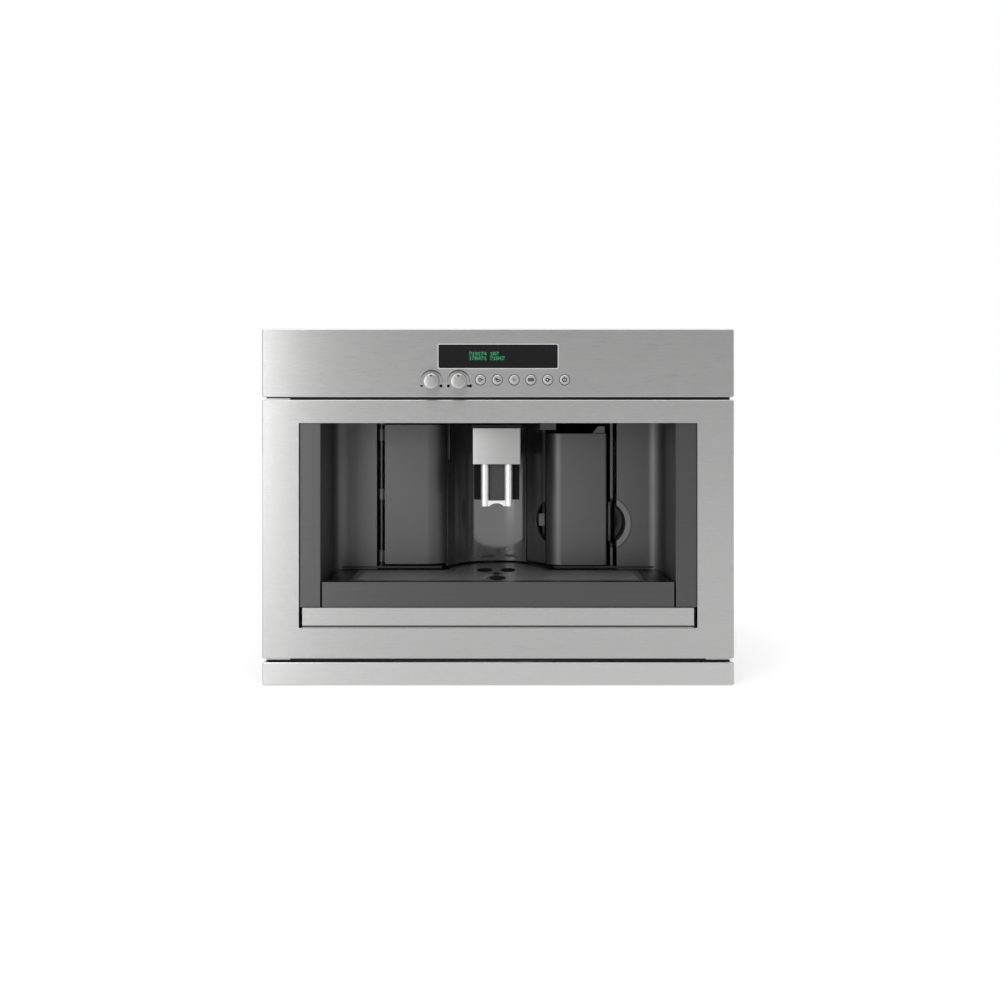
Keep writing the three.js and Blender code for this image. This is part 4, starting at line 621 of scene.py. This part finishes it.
def bay_wall_pieces():
    """The fixed wall between bay and tank, scalloped for the fingers, and its side plate."""
    (_, _, low), (x1, y1, high) = box_of("bay_wall")
    edge_x, edge_y = on_circle(CENTRE, BAY, BAY_WALL_LAST)
    scallop_x, scallop = edge_x + 33, 43  # centre and radius of the scallop
    reach = math.sqrt(scallop**2 - (scallop_x - edge_x) ** 2)
    rows = [low, HOOD_LOW - 4, GRIP_Z + reach + 4, GRIP_Z - reach - 4]
    rows += [GRIP_Z + reach * math.sin(math.radians(a)) for a in range(-90, 91, 6)]
    columns = 25
    span = 2 * columns

    def band(name, levels, inner):
        points, faces = [], []
        for z in levels:
            deep = scallop**2 - (z - GRIP_Z) ** 2
            x = min(edge_x, scallop_x - math.sqrt(deep)) if deep > 0 else edge_x
            end = math.degrees(math.acos(x / BAY))
            for radius in (inner, BAY + BAY_WALL):
                run = arc(CENTRE, radius, BAY_WALL_FIRST, end, columns - 1)
                points += [(px, py, z) for px, py in run]
        for row in range(len(levels) - 1):
            for side in (0, columns):
                for i in range(columns - 1):
                    a = row * span + side + i
                    faces.append((a, a + 1, a + 1 + span, a + span))
            for i in (0, columns - 1):
                a = row * span + i
                faces.append((a, a + columns, a + columns + span, a + span))
        for row in (0, len(levels) - 1):
            for i in range(columns - 1):
                a = row * span + i
                faces.append((a, a + 1, a + columns + 1, a + columns))
        mesh = mesh_from(name, points, faces)
        add_piece(mesh, BAY_SATIN, "machine", ["bay_wall"], edge=0.3)

    band("bay_wall_insert", sorted(rows) + [HOOD_LOW], BAY)
    band("bay_wall_hood", [HOOD_LOW, high], BAY - HOOD_STEP)

    x0 = edge_x - 0.5
    notch, half = edge_y + 24, 27  # back of the plate's notch, and half its height
    outline = [
        (edge_y, low), (y1, low), (y1, high), (edge_y, high), (edge_y, GRIP_Z + half),
        (notch, GRIP_Z + half), (notch, GRIP_Z - half), (edge_y, GRIP_Z - half),
    ]
    sides = prism(outline, lambda y, z, side: (x1 if side else x0, y, z))
    plate = mesh_from("bay_side_plate", *sides)
    add_piece(plate, SATIN_BLACK, "machine", ["bay_wall"], edge=0.2)
    # The catch's pale grey is painted highlight.
    face = round_box(57.6, 66.2, GRIP_Z - 9, GRIP_Z + 9, 1, 3)
    catch = facing("tank_catch", face, notch - 3.5, notch - 0.2)
    add_piece(catch, CATCH_HIGHLIGHT_GREY, "machine", edge=0.4)


# ------------------------------------------------------------------ niche lining

NICHE_HALF, NICHE_BACK, CORNER = 224.9, 115, 20
LINER_FRONT = 5.5
LEFT_PANEL_END, RIGHT_PANEL_END = -166, 190
PROUD, SUNK = 0.45, 0.3  # how far the fine skins stand out of the plainer lining, and reach in
PANEL_EDGE = 162.6  # left edge of the right back panel
GRIP_X, GRIP_RADIUS, GRIP_SHEET = 144.4, 39.3, 0.2  # the round finger grip cut into that edge


def liner_skins():
    """The lacquered side walls, corners and back panels of the niche."""
    low, high = box_of("drip_tray")[1][2] + 0.4, box_of("niche_liner")[1][2] - 3.2

    def run(side, proud, end):
        x, y = NICHE_HALF - CORNER, NICHE_BACK - CORNER
        turn = [(side * u, v) for u, v in arc((x, y), CORNER - proud, 0, 90, 20)]
        first = (side * (NICHE_HALF - proud), LINER_FRONT)
        return [first] + turn + [(end, NICHE_BACK - proud)]

    for name, side, end, edge in (
        ("liner_left", -1, LEFT_PANEL_END, 0.3), ("liner_right", 1, RIGHT_PANEL_END, 0.0),
    ):
        skin = wall(name, run(side, PROUD, end), run(side, -SUNK, end), low, high)
        add_piece(skin, LACQUER, "machine", edge=edge)
    turn = math.degrees(math.acos((PANEL_EDGE - GRIP_X) / GRIP_RADIUS))
    outline = [(PANEL_EDGE, low)] + arc((GRIP_X, GRIP_Z), GRIP_RADIUS, -turn, turn, 40)
    outline += [(PANEL_EDGE, high), (RIGHT_PANEL_END, high), (RIGHT_PANEL_END, low)]
    panel = facing("back_panel_right", outline, NICHE_BACK - PROUD, NICHE_BACK + SUNK)
    add_piece(panel, LACQUER, "machine")


def finger_grip():
    """The grip in the right back panel: a dark groove, a bevelled ring and the cup behind it."""
    rings = [  # each a profile of (radius, depth behind the panel)
        ("grip_groove", DEEP_BLACK, [(39.4, -0.3), (39.2, 2.6), (38.2, 2.6), (38.1, 1.2)]),
        # The bevel's lighter lacquer is painted highlight.
        ("grip_bevel", GRIP_HIGHLIGHT_LACQUER, [(38.1, 1.2), (37.6, 0.9), (30.6, 1.9), (30.2, 2.4)]),
        ("grip_cup", DEEP_BLACK, [(30.2, 2.4), (28.6, 26), (18.4, 26.8)]),
    ]
    steps = 48
    for name, material, profile in rings:
        points, faces = [], []
        for radius, depth in profile:
            turn = math.degrees(math.acos((PANEL_EDGE - GRIP_X) / radius))
            curve = arc((GRIP_X, GRIP_Z), radius, -turn, turn, steps)
            points += [(x, NICHE_BACK + depth, z) for x, z in curve]
        for ring in range(len(profile) - 1):
            for i in range(steps):
                a = ring * (steps + 1) + i
                faces.append((a, a + 1, a + steps + 2, a + steps + 1))
        piece = add_piece(mesh_from(name, points, faces), material, "machine")
        piece.modifiers.new("skin", "SOLIDIFY").thickness = GRIP_SHEET * MM


# ------------------------------------------------------------------ grid

GRID_BACK, GRID_BORDER = 110, 7
LOBE = 68  # radius of the grid's round lobe inside the bay
PITCH, HOLE, SHEET = 4.6, 2.5, 0.7
DRAINS = [((-18.6, 113), 9.5), ((13.8, 113), 9.5), ((-1, 42), 9.5), ((-1.9, 80), 4)]  # (x, y), r
OVAL = 1.8  # the drains are this much longer from front to back


def drain_painted_shades():
    """Painted shade in the drains: dark cups that hang under them, each with a dark ring on the
    sheet.
    """
    (_, _, low), (_, _, high) = box_of("drip_grid")
    for index, ((x, y), r) in enumerate(DRAINS, 1):
        profile = [
            (r + 0.9, high + 0.02), (r + 0.8, high + 0.14), (r - 1.3, high + 0.12),
            (r - 1.5, high - 0.4), (r - 1.5, low - 4), (0.02, low - 4.5),
        ]
        cup = lathe(f"drain_painted_shade_{index}", profile, (x, y), 40, "z")
        middle = place(x, y, 0).y
        for vertex in cup.vertices:
            vertex.co.y = middle + OVAL * (vertex.co.y - middle)
        add_piece(cup, SHADE_BLACK, "drip_grid")


def perforated_grid():
    """The grid: six-sided holes in staggered rows inside a plain border, and its oval drains."""
    (x0, front, _), (x1, _, high) = box_of("drip_grid")
    columns = int((x1 - x0 - 2 * GRID_BORDER) / PITCH)
    left, start = -columns * PITCH / 2, front + GRID_BORDER
    rows = int((SETBACK + LOBE - start) / PITCH) + 1

    def corner(i, j):
        return left + (i + 0.5 * (j % 2)) * PITCH, start + j * PITCH

    def open_cell(i, j):
        x, y = (c + 0.5 * PITCH for c in corner(i, j))
        in_lobe = math.hypot(x, y - SETBACK) < LOBE - GRID_BORDER - 0.5 * PITCH
        if i >= columns - j % 2 or not (y < GRID_BACK - GRID_BORDER or in_lobe):
            return False
        away = ((math.hypot(x - u, (y - v) / OVAL), r) for (u, v), r in DRAINS)
        return all(distance > r + 0.85 * PITCH for distance, r in away)

    made = bmesh.new()
    spots = {}

    def vert(x, y):
        key = (round(x, 2), round(y, 2))
        if key not in spots:
            spots[key] = made.verts.new(place(x, y, high))
        return spots[key]

    def loop(outline):
        ring = [vert(x, y) for x, y in outline]
        return [made.edges.new((ring[i], ring[(i + 1) % len(ring)])) for i in range(len(ring))]

    reach = math.degrees(math.asin((GRID_BACK - SETBACK) / LOBE))
    lobe = arc(CENTRE, LOBE, reach, 180 - reach, 48)
    borders = loop([(x0, front), (x1, front), (x1, GRID_BACK)] + lobe + [(x0, GRID_BACK)])
    for centre, radius in DRAINS:
        circle = arc(centre, radius, 0, 360, 32)[:-1]
        borders += loop([(x, centre[1] + OVAL * (y - centre[1])) for x, y in circle])
    # the corners of a cell as shares of the pitch, and the angle of the hole's corner next to each
    shape = [(0, 0, 225), (0.5, 0, 270), (1, 0, 315), (1, 1, 45), (0.5, 1, 90), (0, 1, 135)]
    outer_edges = set()
    cells = [(i, j) for j in range(rows) for i in range(columns) if open_cell(i, j)]
    for i, j in cells:
        x, y = corner(i, j)
        outer = [vert(x + u * PITCH, y + v * PITCH) for u, v, _ in shape]
        middle = (x + PITCH / 2, y + PITCH / 2)
        inner = [vert(*on_circle(middle, HOLE / 2, angle)) for _, _, angle in shape]
        for k in range(6):
            n = (k + 1) % 6
            made.faces.new((outer[k], outer[n], inner[n], inner[k]))
            outer_edges.add(made.edges.get((outer[k], outer[n])))
    open_edges = (edge for edge in outer_edges if len(edge.link_faces) == 1)
    borders += sorted(open_edges, key=lambda edge: [tuple(v.co) for v in edge.verts])
    bmesh.ops.triangle_fill(made, use_beauty=True, use_dissolve=False, edges=borders)
    bmesh.ops.recalc_face_normals(made, faces=made.faces)
    mesh = bpy.data.meshes.new("perforated_grid")
    made.to_mesh(mesh)
    made.free()
    piece = add_piece(mesh, GRID_STEEL, "drip_grid", ["drip_grid"])
    sheet = piece.modifiers.new("sheet", "SOLIDIFY")
    sheet.thickness = SHEET * MM
    sheet.offset = -1


# ------------------------------------------------------------------ tank, spout and painted shade in recesses

TANK_SHOULDER, TANK_CORNER, TANK_WALL = 21, 2.8, 2.5
WING_LEFT_END, WING_RIGHT_START = -23.2, 19.3
VENTS = (-185, 185, 262, 392)  # x0, x1, z0, z1 of the dark sheet behind them, painted shade


def tank_cover():
    """The dark cover clipped round the front of the tank, wrapped round its left shoulder."""
    (x0, y0, low), (x1, y1, high) = box_of("tank_front")

    def run(depth):
        left = (x0 + TANK_SHOULDER, y0 + TANK_SHOULDER)
        right = (x1 - TANK_CORNER, y0 + TANK_CORNER)
        shoulder = arc(left, TANK_SHOULDER - depth, 180, 270, 28)
        corner = arc(right, TANK_CORNER - depth, -90, 0, 6)
        return [(x0 + depth, y1)] + shoulder + corner + [(x1 - depth, y1)]

    cover = wall("tank_cover", run(0), run(TANK_WALL), low, high)
    add_piece(cover, LACQUER, "water_tank", ["tank_front"], edge=0.7, segments=3)


def spout_shell():
    """The folded steel cover of the spout, open below, with soft edges."""
    (x0, y0, low), (x1, y1, high) = box_of("spout_cover")
    sheet, outside, inside = 1.2, 2.2, 1  # thickness, and the corner radii
    levels = [(0, outside, low), (0, outside, high)]
    levels += [(sheet, inside, low), (sheet, inside, high - sheet)]
    rings = []
    for d, r, z in levels:
        outline = round_box(x0 + d, x1 - d, y0 + d, y1 - d, r, 5)
        rings.append([(x, y, z) for x, y in outline])
    count = len(rings[0])
    faces = []
    for a, b in ((0, 1), (0, 2), (2, 3)):
        for i in range(count):
            n = (i + 1) % count
            faces.append((a * count + i, a * count + n, b * count + n, b * count + i))
    faces += [tuple(range(count, 2 * count)), tuple(range(3 * count, 4 * count))]
    shell = mesh_from("spout_shell", [p for ring in rings for p in ring], faces)
    add_piece(
        shell, SPOUT_STEEL, "service_door", ["spout_cover"], edge=0.9, segments=3
    )


def lamp_lens():
    """The pane on the front of the niche's lamp housing."""
    (x0, y0, low), (x1, _, high) = box_of("niche_lamp")
    outline = round_box(x0 + 1, x1 - 1, low + 1, high - 1.5, 1, 3)
    pane = facing("lamp_pane", outline, y0 - 0.3, y0 + 0.5)
    add_piece(pane, LENS, "machine", edge=0.2)


def spout_mount():
    """The dark mount between the top of the spout cover and the hood."""
    (x0, y0, _), (x1, _, high) = box_of("spout_cover")
    outline = round_box(x0 - 2, x1 + 1.5, y0 + 5, SETBACK + 58, 3, 5)
    mount = upright("spout_mount", outline, high + 0.05, DOOR_HIGH - 0.3)
    add_piece(mount, DEEP_BLACK, "service_door", edge=0.5)


def plate(name, x0, x1, z0, z1, front, back):
    """A thin rectangular plate that faces the viewer."""
    return facing(name, [(x0, z0), (x1, z0), (x1, z1), (x0, z1)], front, back)


def recess_painted_shades():
    """Painted shade: a dark bar under the tray's strip, dark plates on the carriage's wings and a
    dark sheet behind the vents.
    """
    (x0, y0, low), (x1, _, _) = box_of("tray_strip")
    # A dark bar along the strip's lower edge: painted shadow line.
    groove = plate("strip_painted_shadow", x0, x1, low + 0.7, low + 2.7, y0 - 0.12, y0 + 0.1)
    add_piece(groove, DEEP_BLACK, "drip_tray")
    (x0, y0, low), (x1, _, high) = box_of("spout_carriage")
    # Dark plates on the carriage's wings: painted shade.
    for name, left, right in (
        ("carriage_painted_shade_left", x0, WING_LEFT_END), ("carriage_painted_shade_right", WING_RIGHT_START, x1),
    ):
        wing = plate(name, left + 0.3, right, low + 0.4, high - 1, y0 - 0.3, y0 + 0.2)
        add_piece(wing, SHADE_BLACK, "spout_carriage", edge=0.1)
    back = box_of("rear_panel")[0][1]
    # A dark sheet behind the rear vents: painted shade of the inside.
    screen = plate("vent_painted_shade", *VENTS, back - 1.4, back - 0.5)
    add_piece(screen, DEEP_BLACK, "machine")


# ------------------------------------------------------------------ controls

KNOB_Z, KNOB_FRONT = 382.7, -13.1
KNOBS = {"quantity_knob": -83.7, "strength_knob": -49.7}
BUTTON_Z, BUTTON_FRONT = 384.9, -1.4
LAST_BUTTON, BUTTON_PITCH = 83.7, 21.2
BUTTONS = {f"button_{i + 1}": LAST_BUTTON - (5 - i) * BUTTON_PITCH for i in range(6)}
PRINT_FACE, PRINT = -0.02, 0.05  # middle and half thickness of what is printed on the fascia


def knobs():
    """The turned steel knobs, each with its dark mark."""
    front = KNOB_FRONT
    profile = [
        (0.02, front + 0.02), (4, front + 0.05), (7.6, front + 0.18), (8.7, front + 0.34),
        (9.3, front + 0.62), (9.6, front + 1.0), (9.7, front + 1.5), (9.7, -2.2), (9.4, -1.6),
        (9.4, -0.6), (3, -0.6), (3, 12.8), (0.02, 12.8),
    ]
    for name, x in KNOBS.items():
        metal = turned(f"{name}_steel", (0.42, 0.42, 0.417), 0.36, (x, KNOB_Z))
        knob = lathe(f"{name}_turned", profile, (x, KNOB_Z), 72)
        add_piece(knob, metal, name, [name], smooth_angle=40)
        mark = Strokes(front + 0.12, 0.12)
        mark.ring((x, KNOB_Z + 6.9), 1.05, 0.03, steps=20)
        mark.make(f"{name}_mark", INK, name, "satin_black")


def buttons():
    """The six silver caps on their plungers."""
    front = BUTTON_FRONT
    profile = [
        (0.02, front + 0.05), (4.6, front + 0.06), (5.4, front + 0.16), (5.9, front + 0.42),
        (6.15, front + 0.8), (6.2, front + 1.1), (6.2, 1.3), (7.6, 1.3), (7.6, 2.4), (2, 2.4),
        (2, 8.9), (0.02, 8.9),
    ]
    for name, x in BUTTONS.items():
        cap = lathe(f"{name}_cap", profile, (x, BUTTON_Z), 56)
        add_piece(cap, CAP_SILVER, name, [name], smooth_angle=50)


def cup_icon(strokes, x, z, size):
    """A cup seen from above: a thick round rim and a handle."""
    strokes.ring((x, z), size, 0.5 * size, steps=24)
    strokes.bar(x + 0.85 * size, x + 1.7 * size, z - 0.1 * size, z + 0.4 * size)


def small_cup(strokes, x):
    cup_icon(strokes, x - 0.5, BUTTON_Z, 2.3)


def two_cups(strokes, x):
    cup_icon(strokes, x - 1.9, BUTTON_Z + 1.1, 1.7)
    cup_icon(strokes, x + 1.0, BUTTON_Z - 0.8, 2.1)


def steam(strokes, x):
    half = 0.28  # half the width of a wave
    for shift in (-1.0, 0, 1.0):
        left, right = [], []
        for t in range(7):
            u, v = x + shift + 0.4 * math.sin(t * 1.5), BUTTON_Z - 2.1 + 0.7 * t
            left.append((u - half, v))
            right.append((u + half, v))
        strokes.strip(left, right)


def three_bars(strokes, x):
    for shift in (-1.4, 0, 1.4):
        middle = BUTTON_Z + shift
        strokes.bar(x - 4.0, x + 4.0, middle - 0.5, middle + 0.5)


def large_cup(strokes, x):
    cup_icon(strokes, x - 0.5, BUTTON_Z, 2.4)


def power_sign(strokes, x):
    strokes.ring((x, BUTTON_Z), 3.0, 1.8, 120, 420, 24)
    strokes.bar(x - 0.6, x + 0.6, BUTTON_Z + 0.4, BUTTON_Z + 3.5)


def icons():
    """The sign printed on each button."""
    signs = (small_cup, two_cups, steam, three_bars, large_cup, power_sign)
    for index, (draw, (name, x)) in enumerate(zip(signs, BUTTONS.items()), 1):
        strokes = Strokes(BUTTON_FRONT + 0.03, PRINT)
        draw(strokes, x)
        ink = PALE_INK_AND_SHADE if draw is steam else INK
        strokes.make(f"icon_{index}", ink, name, "satin_black")


def prints_and_painted_shades():
    """Printed lines and marks round the knobs, painted shade above the knobs, and painted shadow
    rings round the buttons.
    """
    ink = Strokes(PRINT_FACE, PRINT)
    steps = 36
    for x in KNOBS.values():
        centre = (x, KNOB_Z + 1.0)
        # The thin outer line is print; the crescent under it, thickest at the top, is painted
        # shade above the knob.
        ink.ring(centre, 14.0, 13.6, -12, 192, 48)
        crest = arc(centre, 13.5, 20, 160, steps)
        under = []
        for i in range(steps + 1):
            reach = 13.4 - 1.6 * math.sin(math.pi * i / steps)
            under.append(on_circle(centre, reach, 20 + 140 * i / steps))
        ink.strip(crest, under)
    ink.make("knob_lines_and_painted_shade", PALE_INK_AND_SHADE, "machine", "satin_black")
    marks = Strokes(PRINT_FACE, PRINT)
    for x, radius in ((-71.9, 2.0), (-62.5, 2.0), (-38.0, 1.5), (-34.8, 2.0)):
        marks.dot((x, 377.2), radius)
    small_bowl = arc((-96.3, 378.0), 2.0, 180, 360, 8)
    marks.strip(small_bowl, [(-98.3 + 4 * i / 8, 378.2) for i in range(9)])
    marks.make("knob_marks", INK, "machine", "satin_black")
    shadow_rings = Strokes(PRINT_FACE, PRINT)
    # Dark rings round the caps: painted shadow round each button.
    for x in BUTTONS.values():
        shadow_rings.ring((x, BUTTON_Z), 7.15, 6.1, steps=48)
    shadow_rings.make("button_painted_shadows", PALE_INK_AND_SHADE, "machine", "satin_black")


# ------------------------------------------------------------------ display

# the seven rows of a digit from the top, each a hexadecimal number whose five bits are its dots
DIGITS = {
    "0": "0E 11 13 15 19 11 0E", "1": "04 0C 04 04 04 04 0E",
    "4": "02 06 0A 12 1F 02 02", "7": "1F 01 02 04 08 08 08",
}
LINES = (("710174 107", 420.0), ("170471 71047", 414.2))  # text, height of its upper edge
TEXT_LEFT, DOT_PITCH = -36.4, 0.63
DOT_WIDTH, DOT_HEIGHT = 0.5 * DOT_PITCH, 0.6 * DOT_PITCH
DISPLAY_Z, DISPLAY_HALF, DISPLAY_HALF_HEIGHT = 414.5, 75, 14.7


def display():
    """Two rows of lit dots that form plain digits, on the faintly lit field behind them."""
    face = box_of("display_window")[0][1]
    dots, field = Strokes(face - 0.05, 0.03), Strokes(face - 0.01, 0.02)
    for text, top in LINES:
        for index, digit in enumerate(text):
            if digit not in DIGITS:
                continue
            x = TEXT_LEFT + 6 * DOT_PITCH * index
            field.bar(x - 0.5, x + 5 * DOT_PITCH + 0.3, top - 7 * DOT_PITCH - 0.4, top + 0.3)
            for row, code in enumerate(DIGITS[digit].split()):
                for column in range(5):
                    if int(code, 16) >> (4 - column) & 1:
                        x0, z1 = x + column * DOT_PITCH, top - row * DOT_PITCH
                        dots.bar(x0, x0 + DOT_WIDTH, z1 - DOT_HEIGHT, z1)
    dots.make("display_digits", LIT_DOTS, "machine", "gloss_black")
    field.make("display_field", LIT_FIELD, "machine", "gloss_black")


def display_painted_highlight():
    """A painted highlight: a pale line round the display's window that stands for the light on its
    cut edge.
    """
    highlight_line = Strokes(-0.03, 0.06)

    def outline(grow, radius):
        half, high = DISPLAY_HALF + grow, DISPLAY_HALF_HEIGHT + grow
        return round_box(-half, half, DISPLAY_Z - high, DISPLAY_Z + high, radius, 5)

    highlight_line.strip(outline(1.0, 1.9), outline(0.3, 1.5), closed=True)
    highlight_line.make("display_painted_highlight", EDGE_HIGHLIGHT, "machine", "stainless")


# ------------------------------------------------------------------ stage and light

FLOOR_FRONT, FLOOR_BACK, FLOOR_HALF = -3.5, 8.0, 8.0
FLOOR_GAP = 0.0005  # between the floor and the object
FLOOR_TONE, FLOOR_LIFT = 0.45, 0.55
LIFT_FROM, LIFT_TO = 0.5, 2.5  # distances over which the floor rises to white
BEHIND_FROM, BEHIND_TO = -0.2, 0.1  # mirrored directions that turn from the room to the white


def math_node(tree, operation, *values):
    made = tree.nodes.new("ShaderNodeMath")
    made.operation = operation
    made.use_clamp = True
    for index, value in enumerate(values):
        tree.links.new(value, made.inputs[index])
    return made.outputs[0]


def seen_directly(tree, mirrored=None):
    """1 where the camera looks, also through glass and in metal; mirrored scales those two."""
    path = tree.nodes.new("ShaderNodeLightPath").outputs
    through = math_node(tree, "ADD", path["Is Glossy Ray"], path["Is Transmission Ray"])
    if mirrored is not None:
        through = math_node(tree, "MULTIPLY", through, mirrored)
    return math_node(tree, "ADD", path["Is Camera Ray"], through)


def make_floor():
    """A matt floor that the camera sees rise to white with the distance from the object."""
    mesh = bpy.data.meshes.new("floor")
    left, right = -FLOOR_HALF, FLOOR_HALF
    corners = [(left, FLOOR_FRONT), (right, FLOOR_FRONT), (right, FLOOR_BACK), (left, FLOOR_BACK)]
    height = cad_box[0].z - FLOOR_GAP
    mesh.from_pydata([(x, y, height) for x, y in corners], [], [(0, 1, 2, 3)])
    floor = bpy.data.objects.new("floor", mesh)
    bpy.context.scene.collection.objects.link(floor)
    paint = Finish("floor", (FLOOR_TONE,) * 3, 0.9)
    tree = paint.tree
    away = tree.nodes.new("ShaderNodeVectorMath")
    away.operation = "LENGTH"
    spot = tree.nodes.new("ShaderNodeTexCoord").outputs["Object"]
    tree.links.new(spot, away.inputs[0])
    lift = map_range(tree, away.outputs["Value"], LIFT_FROM, LIFT_TO, FLOOR_LIFT)
    paint.drive("Emission Strength", math_node(tree, "MULTIPLY", seen_directly(tree), lift))
    paint.set("Emission Color", (1, 1, 1, 1))
    mesh.materials.append(paint.material)


def make_world():
    """White behind the object, and soft grey round the room, brighter above and to the left."""
    world = bpy.data.worlds.new("studio")
    world.use_nodes = True
    bpy.context.scene.world = world
    tree = world.node_tree
    tree.nodes.clear()
    out = tree.nodes.new("ShaderNodeOutputWorld")
    mix = tree.nodes.new("ShaderNodeMixShader")
    seen = tree.nodes.new("ShaderNodeBackground")
    seen.inputs["Color"].default_value = (1, 1, 1, 1)
    around = tree.nodes.new("ShaderNodeBackground")
    direction = tree.nodes.new("ShaderNodeTexCoord")
    split = tree.nodes.new("ShaderNodeSeparateXYZ")
    tree.links.new(direction.outputs["Generated"], split.inputs[0])

    def ramp(axis, stops):
        """Grey by one coordinate of the direction: stops of (coordinate, grey)."""
        made = tree.nodes.new("ShaderNodeValToRGB")
        elements = made.color_ramp.elements
        while len(elements) < len(stops):
            elements.new(0.5)
        for element, (position, value) in zip(elements, stops):
            element.position = (position + 1) / 2
            element.color = (value, value, value, 1)
        tree.links.new(map_range(tree, split.outputs[axis], -1, 1), made.inputs[0])
        return made.outputs[0]

    height = ramp("Z", [(-0.02, 0.12), (0.03, 0.2), (0.25, 0.75), (1.0, 1.0)])
    side = ramp("X", [(-1.0, 1.1), (-0.25, 1.2), (-0.08, 0.85), (0.1, 0.74), (1.0, 0.66)])
    product = tree.nodes.new("ShaderNodeMix")
    product.data_type = "RGBA"
    product.blend_type = "MULTIPLY"
    product.inputs["Factor"].default_value = 1
    tree.links.new(height, product.inputs[MIX_FIRST])
    tree.links.new(side, product.inputs[MIX_SECOND])
    tree.links.new(product.outputs[MIX_RESULT], around.inputs["Color"])
    behind = map_range(tree, split.outputs["Y"], BEHIND_FROM, BEHIND_TO)
    tree.links.new(seen_directly(tree, behind), mix.inputs[0])
    tree.links.new(around.outputs[0], mix.inputs[1])
    tree.links.new(seen.outputs[0], mix.inputs[2])
    tree.links.new(mix.outputs[0], out.inputs[0])


def softbox(name, place_at, target, width, height, power):
    """A rectangular lamp that faces its target; metres and watts."""
    data = bpy.data.lights.new(name, "AREA")
    data.shape = "RECTANGLE"
    data.size, data.size_y = width, height
    data.energy = power
    lamp = bpy.data.objects.new(name, data)
    lamp.location = place_at
    aim = Vector(target) - Vector(place_at)
    lamp.rotation_euler = aim.to_track_quat("-Z", "Y").to_euler()
    bpy.context.scene.collection.objects.link(lamp)


def make_lights():
    softbox("left_softbox", (-1.35, -2.65, 0.62), (0, 0, 0.25), 0.9, 1.2, 19)
    softbox("top_softbox", (0.0, -1.0, 2.4), (0, -0.1, 0.2), 2.4, 1.4, 30)
    softbox("right_softbox", (2.4, -1.6, 1.4), (0, 0, 0.25), 0.9, 1.2, 8)


# ------------------------------------------------------------------ assembly

bpy.context.scene.view_settings.view_transform = "Standard"
make_camera()
make_floor()
make_world()
make_lights()
dress_nodes()
door_pieces()
bay_wall_pieces()
liner_skins()
finger_grip()
drain_painted_shades()
perforated_grid()
tank_cover()
spout_shell()
lamp_lens()
spout_mount()
recess_painted_shades()
knobs()
buttons()
icons()
prints_and_painted_shades()
display()
display_painted_highlight()
